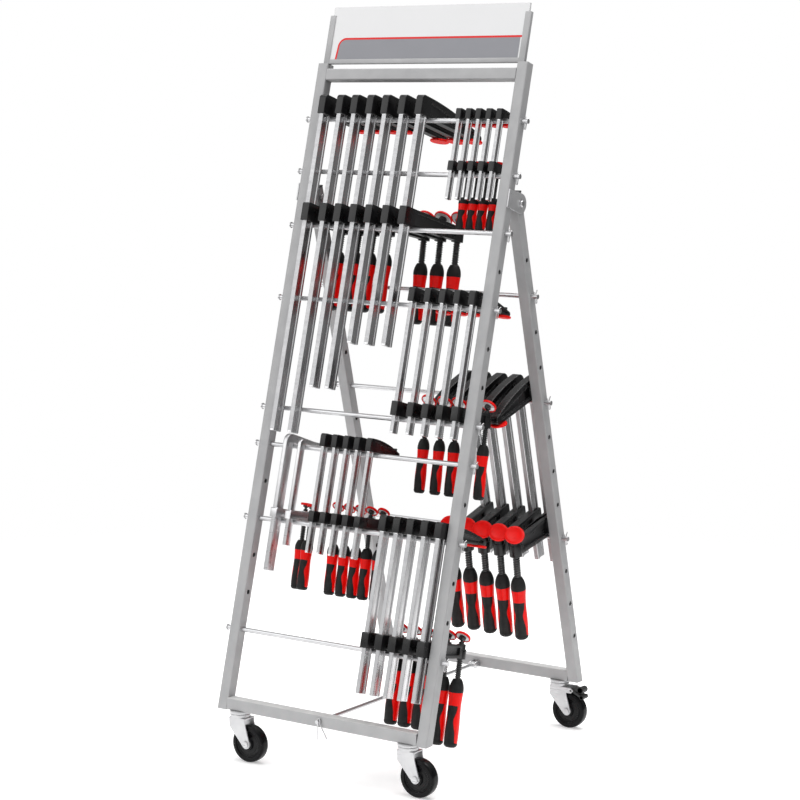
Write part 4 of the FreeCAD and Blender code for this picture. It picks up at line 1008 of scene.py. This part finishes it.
pedalLook = {"pin": (37.0, 88.0), "width": 24.0, "ribs": 15, "around": 150, "end": 1.2, "root": 0.05,
             "sharp": 40}
pedalRolls = (
    {"along": 21.0, "rise": 2.5, "fall": 0.0, "radius": 7.0, "rib": 0.55},
    {"along": 28.0, "rise": 0.0, "fall": 28.0, "radius": 5.0, "rib": 0.15},
)
for corner in ("back_left", "back_right"):
    x, y = castorAt(corner)
    pinAhead, pinHeight = pedalLook["pin"]
    half = pedalLook["width"] / 2
    end = pedalLook["end"]
    turn = np.arange(pedalLook["around"]) * 2 * math.pi / pedalLook["around"]
    wave = 0.5 + 0.5 * np.cos(turn * pedalLook["ribs"])
    store = newStore()
    for roll in pedalRolls:
        place = shiftTo(x + pinAhead, y, pinHeight + roll["rise"]) @ turnAbout(roll["fall"], "Y")
        rows = []
        for across, shrink in ((-half, end), (-half + end, 0.0), (half - end, 0.0), (half, end)):
            reach = roll["radius"] + pedalLook["root"] + wave * roll["rib"] - shrink
            rows.append(np.column_stack([roll["along"] + reach * np.cos(turn), np.full(len(turn), across),
                                         reach * np.sin(turn)]))
        addGrid(store, np.array(rows), place, caps="ab")
    makePiece(pieceName("pedal_ribs_" + corner.split("_")[1]), store, [plasticBlack], "pedal_" + corner,
              "black_plastic", sharp=pedalLook["sharp"])
print("pedal ribs made")


# Floor, lights and camera

floorLook = {"radius": 9.0, "rings": (0.001, 0.1, 0.3, 0.6, 1.0), "around": 96, "sink": 0.2, "rough": 0.9,
             "tone": (0.3, 0.7, 0.92, 0.94), "tone scale": 3.0, "fade": (1.1, 2.6, 1.0, 0.0), "glow": 0.34}
store = newStore()
floorSpots = [(floorLook["radius"] / mm * share, -floorLook["sink"]) for share in floorLook["rings"]]
addGrid(store, ringRows(floorSpots, floorLook["around"]), caps="a")
floorMesh = newMesh("floor", store)
linked("floor", floorMesh)
paper, tree, shader, places = startFinish(
    "paper", Metallic=0.0, Roughness=floorLook["rough"], Specular_IOR_Level=0.1, Emission_Color=grey(1.0),
    Emission_Strength=floorLook["glow"])
tint = spread(tree, noise(tree, places["Object"], floorLook["tone scale"]), *floorLook["tone"])
distance = vectorMaths(tree, "LENGTH", places["Object"])
feed(tree, shader.inputs["Base Color"], joined(tree, tint, tint, tint))
feed(tree, shader.inputs["Alpha"], spread(tree, distance, *floorLook["fade"]))
floorMesh.materials.append(paper)

# The camera sees white, and a softer sky lights the cart, brightest overhead and at the camera's left
skyLook = {"strength": 0.66, "bright side": (-0.50, -0.86, 0.10), "round": (-0.8, 0.9, 0.30, 1.0),
           "overhead": (0.20, 0.90, 0.0, 1.0)}
world = bpy.data.worlds.new("studio")
scene.world = world
world.use_nodes = True
tree = world.node_tree
seen = tree.nodes["Background"]
seen.inputs["Color"].default_value = grey(1.0)
seen.inputs["Strength"].default_value = 1.0
lit = put(tree, "Background")
way = put(tree, "TexCoord").outputs["Generated"]
side = spread(tree, vectorMaths(tree, "DOT_PRODUCT", way, skyLook["bright side"]), *skyLook["round"])
overhead = spread(tree, axes(tree, way)[2], *skyLook["overhead"])
level = maths(tree, "MAXIMUM", side, overhead)
feed(tree, lit.inputs["Color"], joined(tree, level, level, level))
lit.inputs["Strength"].default_value = skyLook["strength"]
choice = put(tree, "MixShader")
feed(tree, choice.inputs[0], put(tree, "LightPath").outputs["Is Camera Ray"])
feed(tree, choice.inputs[1], lit.outputs[0])
feed(tree, choice.inputs[2], seen.outputs[0])
feed(tree, tree.nodes["World Output"].inputs["Surface"], choice.outputs[0])

lamps = table(("at", "to", "size", "power"), {
    "keyLight": ((-2.6, -3.6, 3.2), (0.0, 0.0, 0.7), 4.2, 72.0),
    "fillLight": ((3.6, -2.2, 2.2), (0.0, 0.0, 0.8), 2.2, 14.0),
    "topLight": ((0.3, 0.6, 4.4), (0.0, 0.0, 0.6), 3.4, 180.0),
})
for name, lamp in lamps.items():
    data = bpy.data.lights.new(name, "AREA")
    data.shape = "SQUARE"
    data.size = lamp["size"]
    data.energy = lamp["power"]
    light = linked(name, data)
    light.location = lamp["at"]
    light.rotation_euler = (Vector(lamp["to"]) - Vector(lamp["at"])).to_track_quat("-Z", "Y").to_euler()

lensLook = {"at": (2.48038, -3.84355, 1.32683), "yaw": 33.0711, "pitch": -7.1355, "roll": 0.6785,
            "lens": 96.561, "film": 36.0, "far": 60.0}
yaw, pitch, roll = (math.radians(lensLook[key]) for key in ("yaw", "pitch", "roll"))
ahead = Vector((-math.sin(yaw) * math.cos(pitch), math.cos(yaw) * math.cos(pitch), math.sin(pitch)))
right = Vector((math.cos(yaw), math.sin(yaw), 0.0))
up = right.cross(ahead)
right, up = right * math.cos(roll) + up * math.sin(roll), up * math.cos(roll) - right * math.sin(roll)
lens = bpy.data.cameras.new("camera")
lens.lens = lensLook["lens"]
lens.sensor_width = lensLook["film"]
lens.clip_end = lensLook["far"]
viewer = linked("camera", lens)
viewer.matrix_world = shiftTo(*lensLook["at"]) @ Matrix((right, up, -ahead)).transposed().to_4x4()
scene.camera = viewer
scene.view_settings.view_transform = "Standard"
print("stage set")
